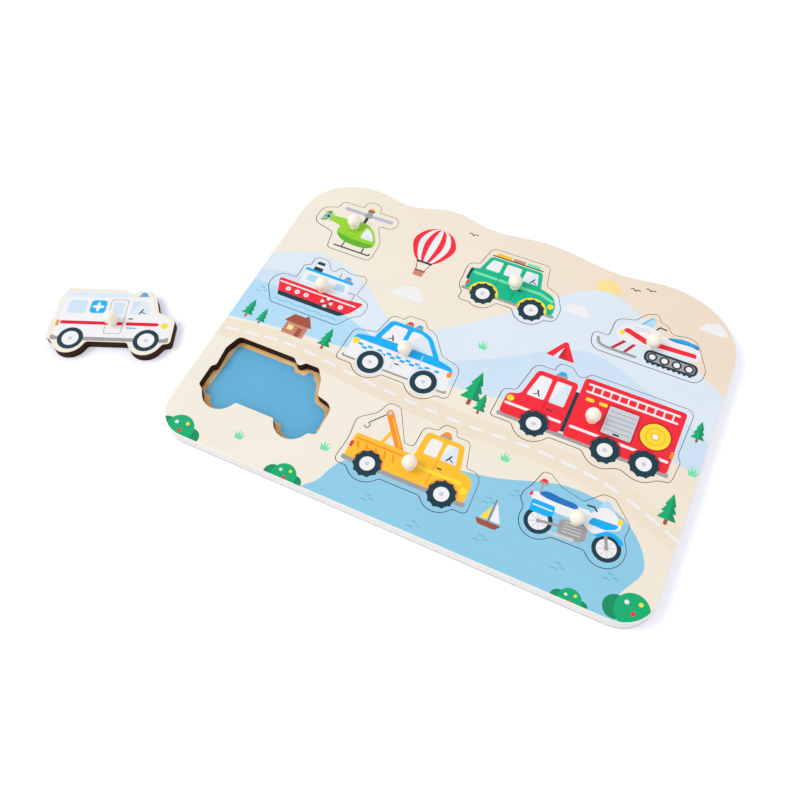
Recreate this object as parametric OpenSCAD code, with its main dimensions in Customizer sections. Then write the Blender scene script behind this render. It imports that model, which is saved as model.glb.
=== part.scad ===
// Wooden peg puzzle: a two-layer board with nine vehicle-shaped cut-outs, nine lift-out
// vehicle pieces, and a turned wooden knob glued into each piece.
// Millimetres. The origin is at the middle of the board's underside, +Z is up and +X runs
// along the board's long side.

/* [Board] */
// Length of the board, left to right
board_w = 300; // [294:1:330]
// Depth of the board, from the straight edge to the top of the highest wave
board_d = 226; // [222:1:250]
// Thickness of the glued back sheet
back_t = 3; // [2:0.5:6]
// Thickness of the printed top sheet, which is also the depth of the cut-outs
plate_t = 6; // [5:0.5:10]
// Radius of the two corners at the straight edge
corner_r = 20; // [5:1:24]
// Length of the rounded shoulder at the upper left
left_shoulder_w = 40; // [30:1:50]
// Height of the rounded shoulder at the upper left
left_shoulder_h = 33; // [20:1:40]
// Length of the rounded shoulder at the upper right
right_shoulder_w = 52; // [40:1:60]
// Height of the rounded shoulder at the upper right
right_shoulder_h = 44; // [30:1:50]

/* [Cut and fit] */
// Width of the slot that the cutting beam leaves round each vehicle
kerf = 0.4; // [0.2:0.05:0.8]
// Thickness of the vehicle pieces
piece_t = 6; // [5:0.5:10]

/* [Knob] */
// Diameter of the ball of the knob
knob_ball_d = 9; // [8:0.5:12]
// Diameter of the knob's foot, which sits on the printed face
knob_foot_d = 6.6; // [6.2:0.2:8]
// Height of the knob's foot
knob_foot_h = 0.8; // [0.4:0.1:1.1]
// Diameter of the waist between foot and ball
knob_waist_d = 5.4; // [4.8:0.1:6]
// Height of the waist above the printed face
knob_waist_h = 1.4; // [1.2:0.1:3]
// Diameter of the spigot below the foot
spigot_d = 4; // [3:0.5:5]
// Length of the spigot
spigot_l = 4; // [2:0.5:4.5]
// Space round the spigot for glue
glue_gap = 0.05; // [0.03:0.01:0.1]

/* [Vehicles] */
// Length of the helicopter
helicopter_w = 54.6; // [50:0.2:58]
// Height of the helicopter
helicopter_d = 48.2; // [45:0.2:52]
// Length of the boat
boat_w = 67.6; // [62:0.2:70]
// Height of the boat
boat_d = 45; // [42:0.2:48]
// Length of the off-road car
off_roader_w = 67.7; // [62:0.2:71]
// Height of the off-road car
off_roader_d = 49.5; // [46:0.2:52]
// Length of the snowmobile
snowmobile_w = 70.5; // [66:0.2:74]
// Height of the snowmobile
snowmobile_d = 40; // [37:0.2:43]
// Length of the patrol car
patrol_car_w = 75.5; // [70:0.2:79]
// Height of the patrol car
patrol_car_d = 53.5; // [50:0.2:55]
// Length of the fire engine
fire_engine_w = 109.5; // [104:0.5:113]
// Height of the fire engine
fire_engine_d = 58.2; // [55:0.2:61]
// Length of the tow truck
tow_truck_w = 82.3; // [78:0.2:86]
// Height of the tow truck
tow_truck_d = 53.4; // [50:0.2:56]
// Length of the motorcycle
motorcycle_w = 62.5; // [58:0.2:66]
// Height of the motorcycle
motorcycle_d = 41.2; // [38:0.2:44]
// Length of the van
van_w = 81.2; // [77:0.2:85]
// Height of the van
van_d = 51.5; // [48:0.2:54]

/* [Van taken out] */
// Distance of the van's middle from the board's left side
van_aside = 67; // [55:1:120]
// Angle at which the van lies beside the board, in degrees
van_turn = 21.7; // [0:1:45]

/* [Hidden] */
// Overrun of every cut
over = 1;
// Distance within which two points of an outline count as one
same_point = 0.001;
// Largest turn between two neighbouring points of a rounded corner, in degrees
arc_step = 12;
// Number of straight runs along each slope of the wavy edge
wave_runs = 6;
// Number of straight runs round each shoulder
shoulder_runs = 9;
$fn = 64;

// Middles of the vehicles, as shares of the board's length and depth from its lower left
helicopter_at_share = [0.131, 0.827];
boat_at_share = [0.15, 0.576];
off_roader_at_share = [0.524, 0.803];
snowmobile_at_share = [0.833, 0.78];
patrol_car_at_share = [0.382, 0.472];
fire_engine_at_share = [0.7785, 0.482];
tow_truck_at_share = [0.5005, 0.194];
motorcycle_at_share = [0.819, 0.2];
van_at_share = [0.1725, 0.219];
// Height of the van's middle when it lies beside the board, as a share of the depth
van_out_share = 0.2395;

// Heights of the shoulders' tops, as shares of the board's depth
left_crest_share = 0.986;
right_crest_share = 0.981;
// Crests and hollows of the wavy edge between the shoulders, from right to left: places
// along the board and heights on it, as shares of the length and the depth
wave_shares = [[0.727, 0.967], [0.55, 0.993], [0.433, 0.977], [0.325, 1], [0.22, 0.97]];

// Corners of each outline, counter-clockwise from the lower left: place along the
// vehicle, place up the vehicle, and the radius of the corner as a share of its length
helicopter_shares = [
    [0.35, 0, 0.06], [0.935, 0, 0.075], [0.932, 0.36, 0.22], [0.78, 0.633, 0.035],
    [1, 0.633, 0.1], [1, 0.865, 0.1], [0.705, 0.863, 0.02], [0.705, 1, 0.09],
    [0.487, 1, 0.085], [0.487, 0.863, 0.02], [0.2, 0.861, 0.07], [0.187, 0.73, 0.035],
    [0, 0.65, 0.13], [0, 0.365, 0.12], [0.302, 0.278, 0.03]
];
boat_shares = [
    [0.12, 0, 0.045], [0.825, 0, 0.06], [0.9, 0.185, 0.1], [1, 0.305, 0.075],
    [1, 0.52, 0.07], [0.84, 0.59, 0.02], [0.862, 0.96, 0.055], [0.685, 0.9, 0.2],
    [0.555, 0.955, 0.025], [0.505, 0.8, 0.035], [0.405, 1, 0.075], [0.268, 1, 0.05],
    [0.262, 0.825, 0.02], [0.207, 0.8, 0.035], [0.207, 0.54, 0.015], [0, 0.53, 0.12],
    [0, 0.255, 0.08]
];
off_roader_shares = [
    [0.064, 0.03, 0.035], [0.175, 0.04, 0.05], [0.32, -0.08, 0.165], [0.424, 0.155, 0.04],
    [0.576, 0.155, 0.03], [0.734, -0.178, 0.167], [0.9, 0.148, 0.02], [1, 0.16, 0.08],
    [1, 0.388, 0.1], [0.923, 0.6, 0.09], [0.783, 0.68, 0.06], [0.743, 1, 0.06],
    [0.149, 1, 0.06], [0.102, 0.687, 0.02], [0, 0.638, 0.065], [0.013, 0.25, 0.09],
    [0.072, 0.155, 0.03]
];
snowmobile_shares = [
    [0.02, 0, 0.11], [1, 0, 0.1], [1, 0.28, 0.09], [0.845, 0.81, 0.13],
    [0.645, 0.725, 0.07], [0.57, 0.87, 0.03], [0.515, 0.89, 0.02], [0.47, 1.025, 0.04],
    [0.375, 0.95, 0.08], [0.305, 0.775, 0.06], [0.145, 0.693, 0.08], [0.14, 0.32, 0.035],
    [0, 0.335, 0.045]
];
patrol_car_shares = [
    [0.005, 0.114, 0.035], [0.15, 0.114, 0.03], [0.286, -0.116, 0.153],
    [0.424, 0.114, 0.03], [0.622, 0.114, 0.03], [0.762, -0.12, 0.153], [0.9, 0.112, 0.03],
    [1, 0.112, 0.045], [0.984, 0.565, 0.09], [0.8, 0.626, 0.05], [0.667, 0.885, 0.12],
    [0.577, 0.916, 0.03], [0.54, 1, 0.05], [0.39, 1, 0.045], [0.363, 0.923, 0.015],
    [0.257, 0.93, 0.055], [0.21, 0.63, 0.02], [0.025, 0.577, 0.06]
];
fire_engine_shares = [
    [0, 0.124, 0.02], [0.122, 0.124, 0.03], [0.229, -0.113, 0.11], [0.335, 0.12, 0.02],
    [0.514, 0.12, 0.03], [0.598, -0.052, 0.11], [0.719, 0.077, 0.06], [0.847, -0.01, 0.11],
    [0.918, 0.1, 0.06], [0.986, 0.125, 0.035], [1, 0.373, 0.035], [0.976, 0.447, 0.03],
    [0.99, 0.995, 0.045], [0.415, 0.995, 0.035], [0.372, 0.885, 0.035], [0.308, 1, 0.035],
    [0.23, 1, 0.035], [0.223, 0.893, 0.01], [0.114, 0.893, 0.05], [0.075, 0.51, 0.025],
    [0.008, 0.478, 0.035]
];
tow_truck_shares = [
    [0, 0.107, 0.04], [0.103, 0.107, 0.035], [0.23, -0.11, 0.142], [0.356, 0.108, 0.035],
    [0.657, 0.107, 0.03], [0.778, -0.114, 0.136], [0.898, 0.107, 0.03], [1, 0.107, 0.04],
    [0.985, 0.602, 0.08], [0.87, 0.6, 0.02], [0.818, 0.907, 0.045], [0.713, 0.908, 0.02],
    [0.69, 1, 0.04], [0.6, 1, 0.04], [0.573, 0.9, 0.02], [0.472, 0.88, 0.05],
    [0.468, 0.605, 0.03], [0.4, 0.603, 0.03], [0.254, 1, 0.055], [0.162, 1, 0.045],
    [0.122, 0.835, 0.07], [0, 0.68, 0.06], [0.02, 0.425, 0.2]
];
motorcycle_shares = [
    [0.033, 0.017, 0.175], [0.283, 0.017, 0.17], [0.368, 0.127, 0.06], [0.664, 0.136, 0.04],
    [0.75, 0, 0.17], [1, 0, 0.17], [1, 0.343, 0.1], [0.945, 0.51, 0.05],
    [0.96, 0.7, 0.07], [0.76, 1, 0.07], [0.656, 1, 0.07], [0.52, 0.79, 0.04],
    [0.296, 0.868, 0.15], [0.176, 0.995, 0.04], [0.1, 0.99, 0.03], [0.056, 0.764, 0.1],
    [0, 0.6, 0.06], [0, 0.5, 0.04], [0.053, 0.394, 0.05]
];
van_shares = [
    [0, 0.225, 0.03], [0.04, 0.188, 0.035], [0.206, -0.19, 0.138], [0.335, 0.18, 0.025],
    [0.656, 0.18, 0.025], [0.794, -0.215, 0.139], [0.942, 0.17, 0.025], [1, 0.19, 0.03],
    [1, 0.592, 0.085], [0.856, 0.647, 0.03], [0.81, 0.868, 0.05], [0.752, 0.987, 0.03],
    [0.645, 0.987, 0.025], [0.602, 0.905, 0.035], [0.54, 1, 0.035], [0.06, 1, 0.04],
    [0.016, 0.8, 0.07], [0.03, 0.535, 0.03], [0, 0.5, 0.03]
];

// Middles of the knobs, as shares of the vehicle's length and height
helicopter_knob_share = [0.513, 0.497];
boat_knob_share = [0.509, 0.495];
off_roader_knob_share = [0.51, 0.507];
snowmobile_knob_share = [0.51, 0.414];
patrol_car_knob_share = [0.508, 0.504];
fire_engine_knob_share = [0.506, 0.49];
tow_truck_knob_share = [0.507, 0.376];
motorcycle_knob_share = [0.518, 0.479];
van_knob_share = [0.502, 0.486];

// Height of the glue joint between the sheets
plate_z = back_t;
bore_d = spigot_d + 2 * glue_gap;
bore_l = spigot_l + glue_gap;
board_left = -board_w / 2;
board_front = -board_d / 2;

// The vector of length one along v
function unit(v) = v / norm(v);

// The vector v turned by an angle
function turned(v, angle) = [
    v.x * cos(angle) - v.y * sin(angle),
    v.x * sin(angle) + v.y * cos(angle)
];

// The item of a ring of items, counted round past both ends
function around(ring, i) = ring[(i + len(ring)) % len(ring)];

// The flat point of a corner, without its radius
function flat(corner) = [corner.x, corner.y];

// The straight that comes to corner i, and the directions in and out of the corner
function straight(ring, i) = flat(around(ring, i)) - flat(around(ring, i - 1));
function way_in(ring, i) = unit(straight(ring, i));
function way_out(ring, i) = unit(straight(ring, i + 1));

// The turn of an outline at corner i, in degrees, positive to the left
function bend(ring, i) = atan2(
    cross(way_in(ring, i), way_out(ring, i)),
    way_in(ring, i) * way_out(ring, i)
);

// The length that the rounding of corner i takes from each straight beside it
function reach(ring, i) = around(ring, i).z * tan(abs(bend(ring, i)) / 2);

// The part of its radius for which corner i has room on the straight before it
function room(ring, i) =
    norm(straight(ring, i)) / (reach(ring, i) + reach(ring, i - 1));

// The points of the arc that rounds corner i
function arc_points(ring, i) =
    let (
        angle = bend(ring, i),
        limit = min(1, room(ring, i), room(ring, i + 1)),
        radius = ring[i].z * limit,
        inward = turned(way_in(ring, i), 90 * sign(angle)),
        start = flat(ring[i]) - way_in(ring, i) * reach(ring, i) * limit,
        middle = start + inward * radius,
        steps = max(1, ceil(abs(angle) / arc_step))
    )
    [for (k = [0:steps]) middle - turned(inward, angle * k / steps) * radius];

// An outline without the points that repeat the point before them
function without_repeats(ring) = [
    for (i = [0:len(ring) - 1])
        if (norm(ring[i] - around(ring, i - 1)) > same_point) ring[i]
];

// An outline with all its corners rounded
function rounded(ring) =
    without_repeats([for (i = [0:len(ring) - 1]) each arc_points(ring, i)]);

// An outline moved outwards by a distance, or inwards by a negative one
function grown(ring, distance) = [
    for (i = [0:len(ring) - 1])
        let (
            a = turned(way_in(ring, i), -90),
            b = turned(way_out(ring, i), -90),
            moved = flat(ring[i]) + (a + b) * distance / (1 + a * b)
        )
        [moved.x, moved.y, max(0, ring[i].z + distance * sign(bend(ring, i)))]
];

// The corners of a vehicle in millimetres, about the middle of the vehicle
function sized(shares, w, d) = [
    for (s = shares) [(s.x - 0.5) * w, (s.y - 0.5) * d, s.z * w]
];

// Where a share of the board lies from the origin
function on_board(share) = [board_left + share.x * board_w, board_front + share.y * board_d];

// One slope of the wavy edge, from a crest to a hollow or back
function slope(a, b) = [
    for (k = [0:wave_runs])
        let (t = k / wave_runs, ease = (1 - cos(180 * t)) / 2)
        [a.x + (b.x - a.x) * t, a.y + (b.y - a.y) * ease]
];

// A quarter of an ellipse between two angles
function shoulder(middle, rx, ry, from, to) = [
    for (k = [0:shoulder_runs])
        let (angle = from + (to - from) * k / shoulder_runs)
        [middle.x + rx * cos(angle), middle.y + ry * sin(angle)]
];

// A quarter circle that rounds one corner at the straight edge
function foot_corner(side) =
    let (from = side < 0 ? 180 : 270)
    shoulder([side * (board_w / 2 - corner_r), board_front + corner_r],
             corner_r, corner_r, from, from + 90);

right_crest = [board_w / 2 - right_shoulder_w, board_front + right_crest_share * board_d];
left_crest = [board_left + left_shoulder_w, board_front + left_crest_share * board_d];
wave_points = concat([right_crest], [for (s = wave_shares) on_board(s)], [left_crest]);

// The outer edge of the board, counter-clockwise from the lower left
function board_edge() = without_repeats(concat(
    foot_corner(-1),
    foot_corner(1),
    shoulder(right_crest - [0, right_shoulder_h], right_shoulder_w, right_shoulder_h, 0, 90),
    [for (i = [1:len(wave_points) - 1]) each slope(wave_points[i - 1], wave_points[i])],
    shoulder(left_crest - [0, left_shoulder_h], left_shoulder_w, left_shoulder_h, 90, 180)
));

// Takes its children from the middle of a vehicle to that vehicle's place in the board
module in_board(at_share) {
    translate([on_board(at_share).x, on_board(at_share).y, plate_z]) children();
}

// Takes its children from the middle of the van to the place beside the board
module beside_board() {
    translate([board_left - van_aside, board_front + van_out_share * board_d, 0])
        rotate(van_turn) children();
}

// The opening that the beam leaves for a vehicle
module opening(shares, w, d, at_share) {
    in_board(at_share)
        translate([0, 0, -over])
            linear_extrude(plate_t + 2 * over)
                polygon(rounded(grown(sized(shares, w, d), kerf / 2)));
}

// A vehicle piece about its own middle, with the blind bore for its knob
module vehicle(shares, w, d, knob_share) {
    difference() {
        linear_extrude(piece_t)
            polygon(rounded(grown(sized(shares, w, d), -kerf / 2)));
        knob_place(w, d, knob_share)
            translate([0, 0, -bore_l]) cylinder(d = bore_d, h = bore_l + over);
    }
}

// Takes its children to the printed face of a vehicle, at its knob
module knob_place(w, d, knob_share) {
    translate([(knob_share.x - 0.5) * w, (knob_share.y - 0.5) * d, piece_t]) children();
}

// The half section of the knob above its seat: foot, waist and ball
function knob_section() =
    let (
        ball_r = knob_ball_d / 2,
        low = -acos(knob_waist_d / knob_ball_d),
        ball_z = knob_waist_h - ball_r * sin(low),
        steps = ceil((90 - low) / arc_step)
    )
    concat(
        [[0, 0], [knob_foot_d / 2, 0], [knob_foot_d / 2, knob_foot_h]],
        [for (k = [0:steps])
            let (angle = low + (90 - low) * k / steps)
            [k == steps ? 0 : ball_r * cos(angle), ball_z + ball_r * sin(angle)]]
    );

// A turned knob, seated on the face at its place, with its spigot below
module knob(w, d, knob_share) {
    knob_place(w, d, knob_share) {
        rotate_extrude() polygon(knob_section());
        translate([0, 0, -spigot_l]) cylinder(d = spigot_d, h = spigot_l);
    }
}

module back_board() {
    color("tan") linear_extrude(back_t) polygon(board_edge());
}

module frame_plate() {
    color("antiquewhite")
        difference() {
            translate([0, 0, plate_z]) linear_extrude(plate_t) polygon(board_edge());
            opening(helicopter_shares, helicopter_w, helicopter_d, helicopter_at_share);
            opening(boat_shares, boat_w, boat_d, boat_at_share);
            opening(off_roader_shares, off_roader_w, off_roader_d, off_roader_at_share);
            opening(snowmobile_shares, snowmobile_w, snowmobile_d, snowmobile_at_share);
            opening(patrol_car_shares, patrol_car_w, patrol_car_d, patrol_car_at_share);
            opening(fire_engine_shares, fire_engine_w, fire_engine_d,
                    fire_engine_at_share);
            opening(tow_truck_shares, tow_truck_w, tow_truck_d, tow_truck_at_share);
            opening(motorcycle_shares, motorcycle_w, motorcycle_d, motorcycle_at_share);
            opening(van_shares, van_w, van_d, van_at_share);
        }
}

module helicopter_piece() {
    color("yellowgreen") in_board(helicopter_at_share)
        vehicle(helicopter_shares, helicopter_w, helicopter_d, helicopter_knob_share);
}

module helicopter_knob() {
    color("wheat") in_board(helicopter_at_share)
        knob(helicopter_w, helicopter_d, helicopter_knob_share);
}

module boat_piece() {
    color("tomato") in_board(boat_at_share)
        vehicle(boat_shares, boat_w, boat_d, boat_knob_share);
}

module boat_knob() {
    color("wheat") in_board(boat_at_share) knob(boat_w, boat_d, boat_knob_share);
}

module off_roader_piece() {
    color("mediumseagreen") in_board(off_roader_at_share)
        vehicle(off_roader_shares, off_roader_w, off_roader_d, off_roader_knob_share);
}

module off_roader_knob() {
    color("wheat") in_board(off_roader_at_share) knob(off_roader_w, off_roader_d, off_roader_knob_share);
}

module snowmobile_piece() {
    color("aliceblue") in_board(snowmobile_at_share)
        vehicle(snowmobile_shares, snowmobile_w, snowmobile_d, snowmobile_knob_share);
}

module snowmobile_knob() {
    color("wheat") in_board(snowmobile_at_share)
        knob(snowmobile_w, snowmobile_d, snowmobile_knob_share);
}

module patrol_car_piece() {
    color("deepskyblue") in_board(patrol_car_at_share)
        vehicle(patrol_car_shares, patrol_car_w, patrol_car_d, patrol_car_knob_share);
}

module patrol_car_knob() {
    color("wheat") in_board(patrol_car_at_share)
        knob(patrol_car_w, patrol_car_d, patrol_car_knob_share);
}

module fire_engine_piece() {
    color("crimson") in_board(fire_engine_at_share)
        vehicle(fire_engine_shares, fire_engine_w, fire_engine_d, fire_engine_knob_share);
}

module fire_engine_knob() {
    color("wheat") in_board(fire_engine_at_share)
        knob(fire_engine_w, fire_engine_d, fire_engine_knob_share);
}

module tow_truck_piece() {
    color("gold") in_board(tow_truck_at_share)
        vehicle(tow_truck_shares, tow_truck_w, tow_truck_d, tow_truck_knob_share);
}

module tow_truck_knob() {
    color("wheat") in_board(tow_truck_at_share)
        knob(tow_truck_w, tow_truck_d, tow_truck_knob_share);
}

module motorcycle_piece() {
    color("lightskyblue") in_board(motorcycle_at_share)
        vehicle(motorcycle_shares, motorcycle_w, motorcycle_d, motorcycle_knob_share);
}

module motorcycle_knob() {
    color("wheat") in_board(motorcycle_at_share)
        knob(motorcycle_w, motorcycle_d, motorcycle_knob_share);
}

module van_piece() {
    color("white") beside_board() vehicle(van_shares, van_w, van_d, van_knob_share);
}

module van_knob() {
    color("wheat") beside_board() knob(van_w, van_d, van_knob_share);
}

back_board();
frame_plate();
helicopter_piece();
helicopter_knob();
boat_piece();
boat_knob();
off_roader_piece();
off_roader_knob();
snowmobile_piece();
snowmobile_knob();
patrol_car_piece();
patrol_car_knob();
fire_engine_piece();
fire_engine_knob();
tow_truck_piece();
tow_truck_knob();
motorcycle_piece();
motorcycle_knob();
van_piece();
van_knob();
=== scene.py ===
"""A wooden peg puzzle: a printed board with nine cut-outs, nine lift-out vehicles and their knobs.

Lengths are metres in the part's frame: the origin is at the middle of the board's underside and
+Z points out of the printed face. The print is drawn in millimetres on that face, the landscape
from the board's lower left corner and each vehicle from that of its own outline.
"""

import logging
import math
from collections.abc import Callable, Iterator, Sequence
from dataclasses import dataclass, field
from enum import Enum

import bmesh
import bpy
from mathutils import Matrix, Vector
from mathutils.geometry import delaunay_2d_cdt


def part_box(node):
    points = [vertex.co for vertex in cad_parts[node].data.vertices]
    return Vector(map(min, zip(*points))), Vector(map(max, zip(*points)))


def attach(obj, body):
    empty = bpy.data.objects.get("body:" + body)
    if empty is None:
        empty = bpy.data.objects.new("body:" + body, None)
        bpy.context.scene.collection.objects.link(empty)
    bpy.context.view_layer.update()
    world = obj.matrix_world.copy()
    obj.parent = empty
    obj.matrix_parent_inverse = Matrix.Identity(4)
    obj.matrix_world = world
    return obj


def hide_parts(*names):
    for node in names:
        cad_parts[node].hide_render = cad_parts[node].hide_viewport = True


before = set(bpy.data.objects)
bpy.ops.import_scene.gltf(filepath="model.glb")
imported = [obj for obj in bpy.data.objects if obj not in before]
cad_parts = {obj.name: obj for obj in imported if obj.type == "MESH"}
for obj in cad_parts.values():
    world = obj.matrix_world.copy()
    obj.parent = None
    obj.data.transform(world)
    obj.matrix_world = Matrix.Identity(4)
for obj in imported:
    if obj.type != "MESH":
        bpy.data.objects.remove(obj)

MM = 0.001
NEAR = 1e-6
INK_LAYER = "ink"
RUN_LAYER = "run"

# How finely arcs and rounded corners are divided, and how much of a side one corner may take.
ARC_STEPS = 14
ARC_STEPS_PER_MM = 2.2
CORNER_STEPS = 5
CORNER_SHARE = 0.48
# Keeps a sharp corner from running far out when its line is moved sideways.
SHARPEST = 0.3

Point = tuple[float, float]
Pair = tuple[float, float]
Triple = tuple[float, float, float]
Colour = tuple[float, float, float, float]
Loop = tuple[Point, ...]
Material = bpy.types.Material
Mesh = bpy.types.Mesh
Socket = bpy.types.NodeSocket
Number = "float | Wire"

log = logging.getLogger("peg_puzzle")


def tint(screen: str) -> Colour:
    """A screen colour as linear red, green, blue and full cover."""
    shares = (int(screen[i : i + 2], 16) / 255 for i in (1, 3, 5))
    return (*(((s + 0.055) / 1.055) ** 2.4 for s in shares), 1.0)


class Ink(Enum):
    """Printing inks, as screen colours."""

    CREAM = "#F2ECDF"
    SAND = "#EFE3CF"
    WHITE = "#F1F1F5"
    SHELL = "#DEEAF6"
    MIST = "#CEE3F5"
    ICE = "#B2DCF7"
    LAKE = "#8FCCE8"
    POOL = "#63B3DD"
    RIPPLE = "#62A3C4"
    BLUE = "#00B1FA"
    ROYAL = "#1B74C0"
    NAVY = "#123746"
    RED = "#F62638"
    SCARLET = "#E5042C"
    CRIMSON = "#C8202F"
    YELLOW = "#FFDF35"
    BUTTER = "#FBE29A"
    AMBER = "#FFC22E"
    ORANGE = "#FB922F"
    LIME = "#97D52E"
    LEAF = "#5DB52A"
    GREEN = "#00BA8C"
    LAWN = "#02AE70"
    SPRUCE = "#048F60"
    MINT = "#77E5AC"
    GREY = "#A39F9F"
    SILVER = "#CBD0D9"
    LILAC = "#B9BDD6"
    CLAY = "#CE8B70"
    BRICK = "#A4523F"
    SINGED = "#9C7654"

    @property
    def linear(self) -> Colour:
        """The ink as linear red, green, blue and full cover."""
        return tint(self.value)


def arc(x: float, y: float, rx: float, ry: float, start: float, end: float) -> Loop:
    """Points along part of an upright ellipse, from one angle to another in degrees."""
    full_turn = ARC_STEPS + ARC_STEPS_PER_MM * max(rx, ry)
    steps = max(2, math.ceil(abs(end - start) / 360 * full_turn))
    angles = (math.radians(start + (end - start) * i / steps) for i in range(steps + 1))
    return tuple((x + rx * math.cos(a), y + ry * math.sin(a)) for a in angles)


def rounded(corners: Loop, radius: float) -> Loop:
    """Rounds every corner of a closed outline.

    Args:
        corners: The outline's corners, in order.
        radius: How far along each side the rounding starts from a square corner.

    Returns:
        The outline with a short curve in place of each corner.
    """
    points = []
    for i, (x, y) in enumerate(corners):
        ends = []
        for px, py in (corners[i - 1], corners[(i + 1) % len(corners)]):
            length = math.hypot(px - x, py - y)
            share = min(radius, CORNER_SHARE * length) / length
            ends.append((x + (px - x) * share, y + (py - y) * share))
        (ax, ay), (bx, by) = ends
        for step in range(CORNER_STEPS + 1):
            t = step / CORNER_STEPS
            a, c, b = (1 - t) ** 2, 2 * t * (1 - t), t * t
            points.append((a * ax + c * x + b * bx, a * ay + c * y + b * by))
    return tuple(points)


def smooth(knots: Loop, closed: bool = True, steps: int = 6) -> Loop:
    """Runs a smooth curve through knots.

    Args:
        knots: The points that the curve passes.
        closed: Whether the curve comes back to its first knot.
        steps: Points on each stretch between two knots.

    Returns:
        The points of the curve.
    """
    n = len(knots)
    points = []
    for i in range(n if closed else n - 1):
        around = [i - 1, i, i + 1, i + 2]
        if closed:
            a, b, c, d = (knots[k % n] for k in around)
        else:
            a, b, c, d = (knots[min(max(k, 0), n - 1)] for k in around)
        for s in range(steps):
            t = s / steps
            points.append(tuple(
                b[k]
                + 0.5 * t * (c[k] - a[k])
                + t * t * (a[k] - 2.5 * b[k] + 2 * c[k] - 0.5 * d[k])
                + t**3 * (1.5 * (b[k] - c[k]) + 0.5 * (d[k] - a[k]))
                for k in (0, 1)
            ))
    return tuple(points) if closed else (*points, knots[-1])


def ribbon(path: Loop, width: float) -> Loop:
    """The outline of a round-ended line of even width along a path."""
    left, right = [], []
    for i, (x, y) in enumerate(path):
        px, py = path[max(i - 1, 0)]
        nx, ny = path[min(i + 1, len(path) - 1)]
        length = math.hypot(nx - px, ny - py)
        dx, dy = (nx - px) / length * width / 2, (ny - py) / length * width / 2
        left.append((x - dy, y + dx))
        right.append((x + dy, y - dx))
        if i == 0:
            turn = math.degrees(math.atan2(dy, dx))
    start = arc(*path[0], width / 2, width / 2, turn + 90, turn + 270)[1:-1]
    last = math.degrees(math.atan2(dy, dx))
    end = arc(*path[-1], width / 2, width / 2, last - 90, last + 90)[1:-1]
    return (*right, *end, *reversed(left), *start)


def neighbours(ring: Sequence) -> Iterator[tuple]:
    """Each pair of neighbours round a closed ring, the last with the first too."""
    return zip(ring, ring[1:] + ring[:1])


def turns_left(line: Loop) -> bool:
    """Whether a closed line has its inside on its left."""
    return sum(a[0] * b[1] - b[0] * a[1] for a, b in neighbours(line)) > 0


@dataclass(frozen=True)
class Patch:
    """One flat area of ink."""

    ink: Ink
    edge: Loop


@dataclass
class Pen:
    """Lays flat areas of ink over one another, in millimetres from a corner."""

    corner: Point = (0.0, 0.0)
    patches: list[Patch] = field(default_factory=list)

    def at(self, x: float, y: float) -> "Pen":
        """A pen for the same print that measures from another corner."""
        return Pen((self.corner[0] + x, self.corner[1] + y), self.patches)

    def fill(self, ink: Ink, edge: Loop) -> None:
        """Lays ink inside a closed outline."""
        x, y = self.corner
        moved = tuple((x + px, y + py) for px, py in edge)
        self.patches.append(Patch(ink, moved if turns_left(moved) else moved[::-1]))

    def panel(self, ink: Ink, corners: Loop, radius: float = 0.0) -> None:
        """Lays a panel with straight sides and, if asked, rounded corners."""
        self.fill(ink, rounded(corners, radius) if radius else corners)

    def box(self, ink: Ink, x: float, y: float, w: float, h: float, radius: float = 0.0) -> None:
        """Lays an upright rectangle from its lower left corner."""
        self.panel(ink, ((x, y), (x + w, y), (x + w, y + h), (x, y + h)), radius)

    def soft(self, ink: Ink, knots: Loop) -> None:
        """Lays an area with a smooth edge through knots."""
        self.fill(ink, smooth(knots))

    def oval(self, ink: Ink, x: float, y: float, rx: float, ry: float) -> None:
        """Lays an upright oval about its middle."""
        self.fill(ink, arc(x, y, rx, ry, 0, 360)[:-1])

    def disc(self, ink: Ink, x: float, y: float, r: float) -> None:
        """Lays a disc about its middle."""
        self.oval(ink, x, y, r, r)

    def dome(self, ink: Ink, x: float, y: float, r: float) -> None:
        """Lays the upper half of a disc."""
        self.fill(ink, arc(x, y, r, r, 0, 180))

    def rings(self, *rings: tuple[Ink, float]) -> None:
        """Lays discs about the corner, each over the one before it."""
        for ink, r in rings:
            self.disc(ink, 0.0, 0.0, r)

    def rays(
        self, ink: Ink, width: float, near: float, far: float, count: int, first: float = 0.0
    ) -> None:
        """Draws lines that point away from the corner, evenly spaced about it.

        Args:
            ink: Their ink.
            width: Their width.
            near: How far from the corner they start.
            far: How far from the corner they end.
            count: How many there are.
            first: Where the first one lies, as a share of the space between two.
        """
        for i in range(count):
            angle = math.tau * (i + first) / count
            dx, dy = math.cos(angle), math.sin(angle)
            self.line(ink, width, (near * dx, near * dy), (far * dx, far * dy))

    def line(self, ink: Ink, width: float, *path: Point) -> None:
        """Draws a round-ended line along straight stretches."""
        for a, b in zip(path, path[1:]):
            self.fill(ink, ribbon((a, b), width))

    def sweep(self, ink: Ink, width: float, *knots: Point) -> None:
        """Draws a round-ended smooth line through knots."""
        self.fill(ink, ribbon(smooth(knots, closed=False), width))


@dataclass(frozen=True)
class Wheel:
    """A printed wheel with its tyre, rim and cap."""

    x: float
    y: float
    tyre_r: float = 8.0
    rim_r: float = 4.5
    cap_r: float = 1.3
    treads: int = 0

    def draw(self, pen: Pen) -> None:
        """Prints the wheel from the treads inwards."""
        hub = pen.at(self.x, self.y)
        hub.rays(Ink.NAVY, 2.6, self.tyre_r - 1.6, self.tyre_r - 0.6, self.treads)
        hub.rings((Ink.NAVY, self.tyre_r), (Ink.WHITE, self.rim_r), (Ink.SILVER, self.cap_r))


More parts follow.
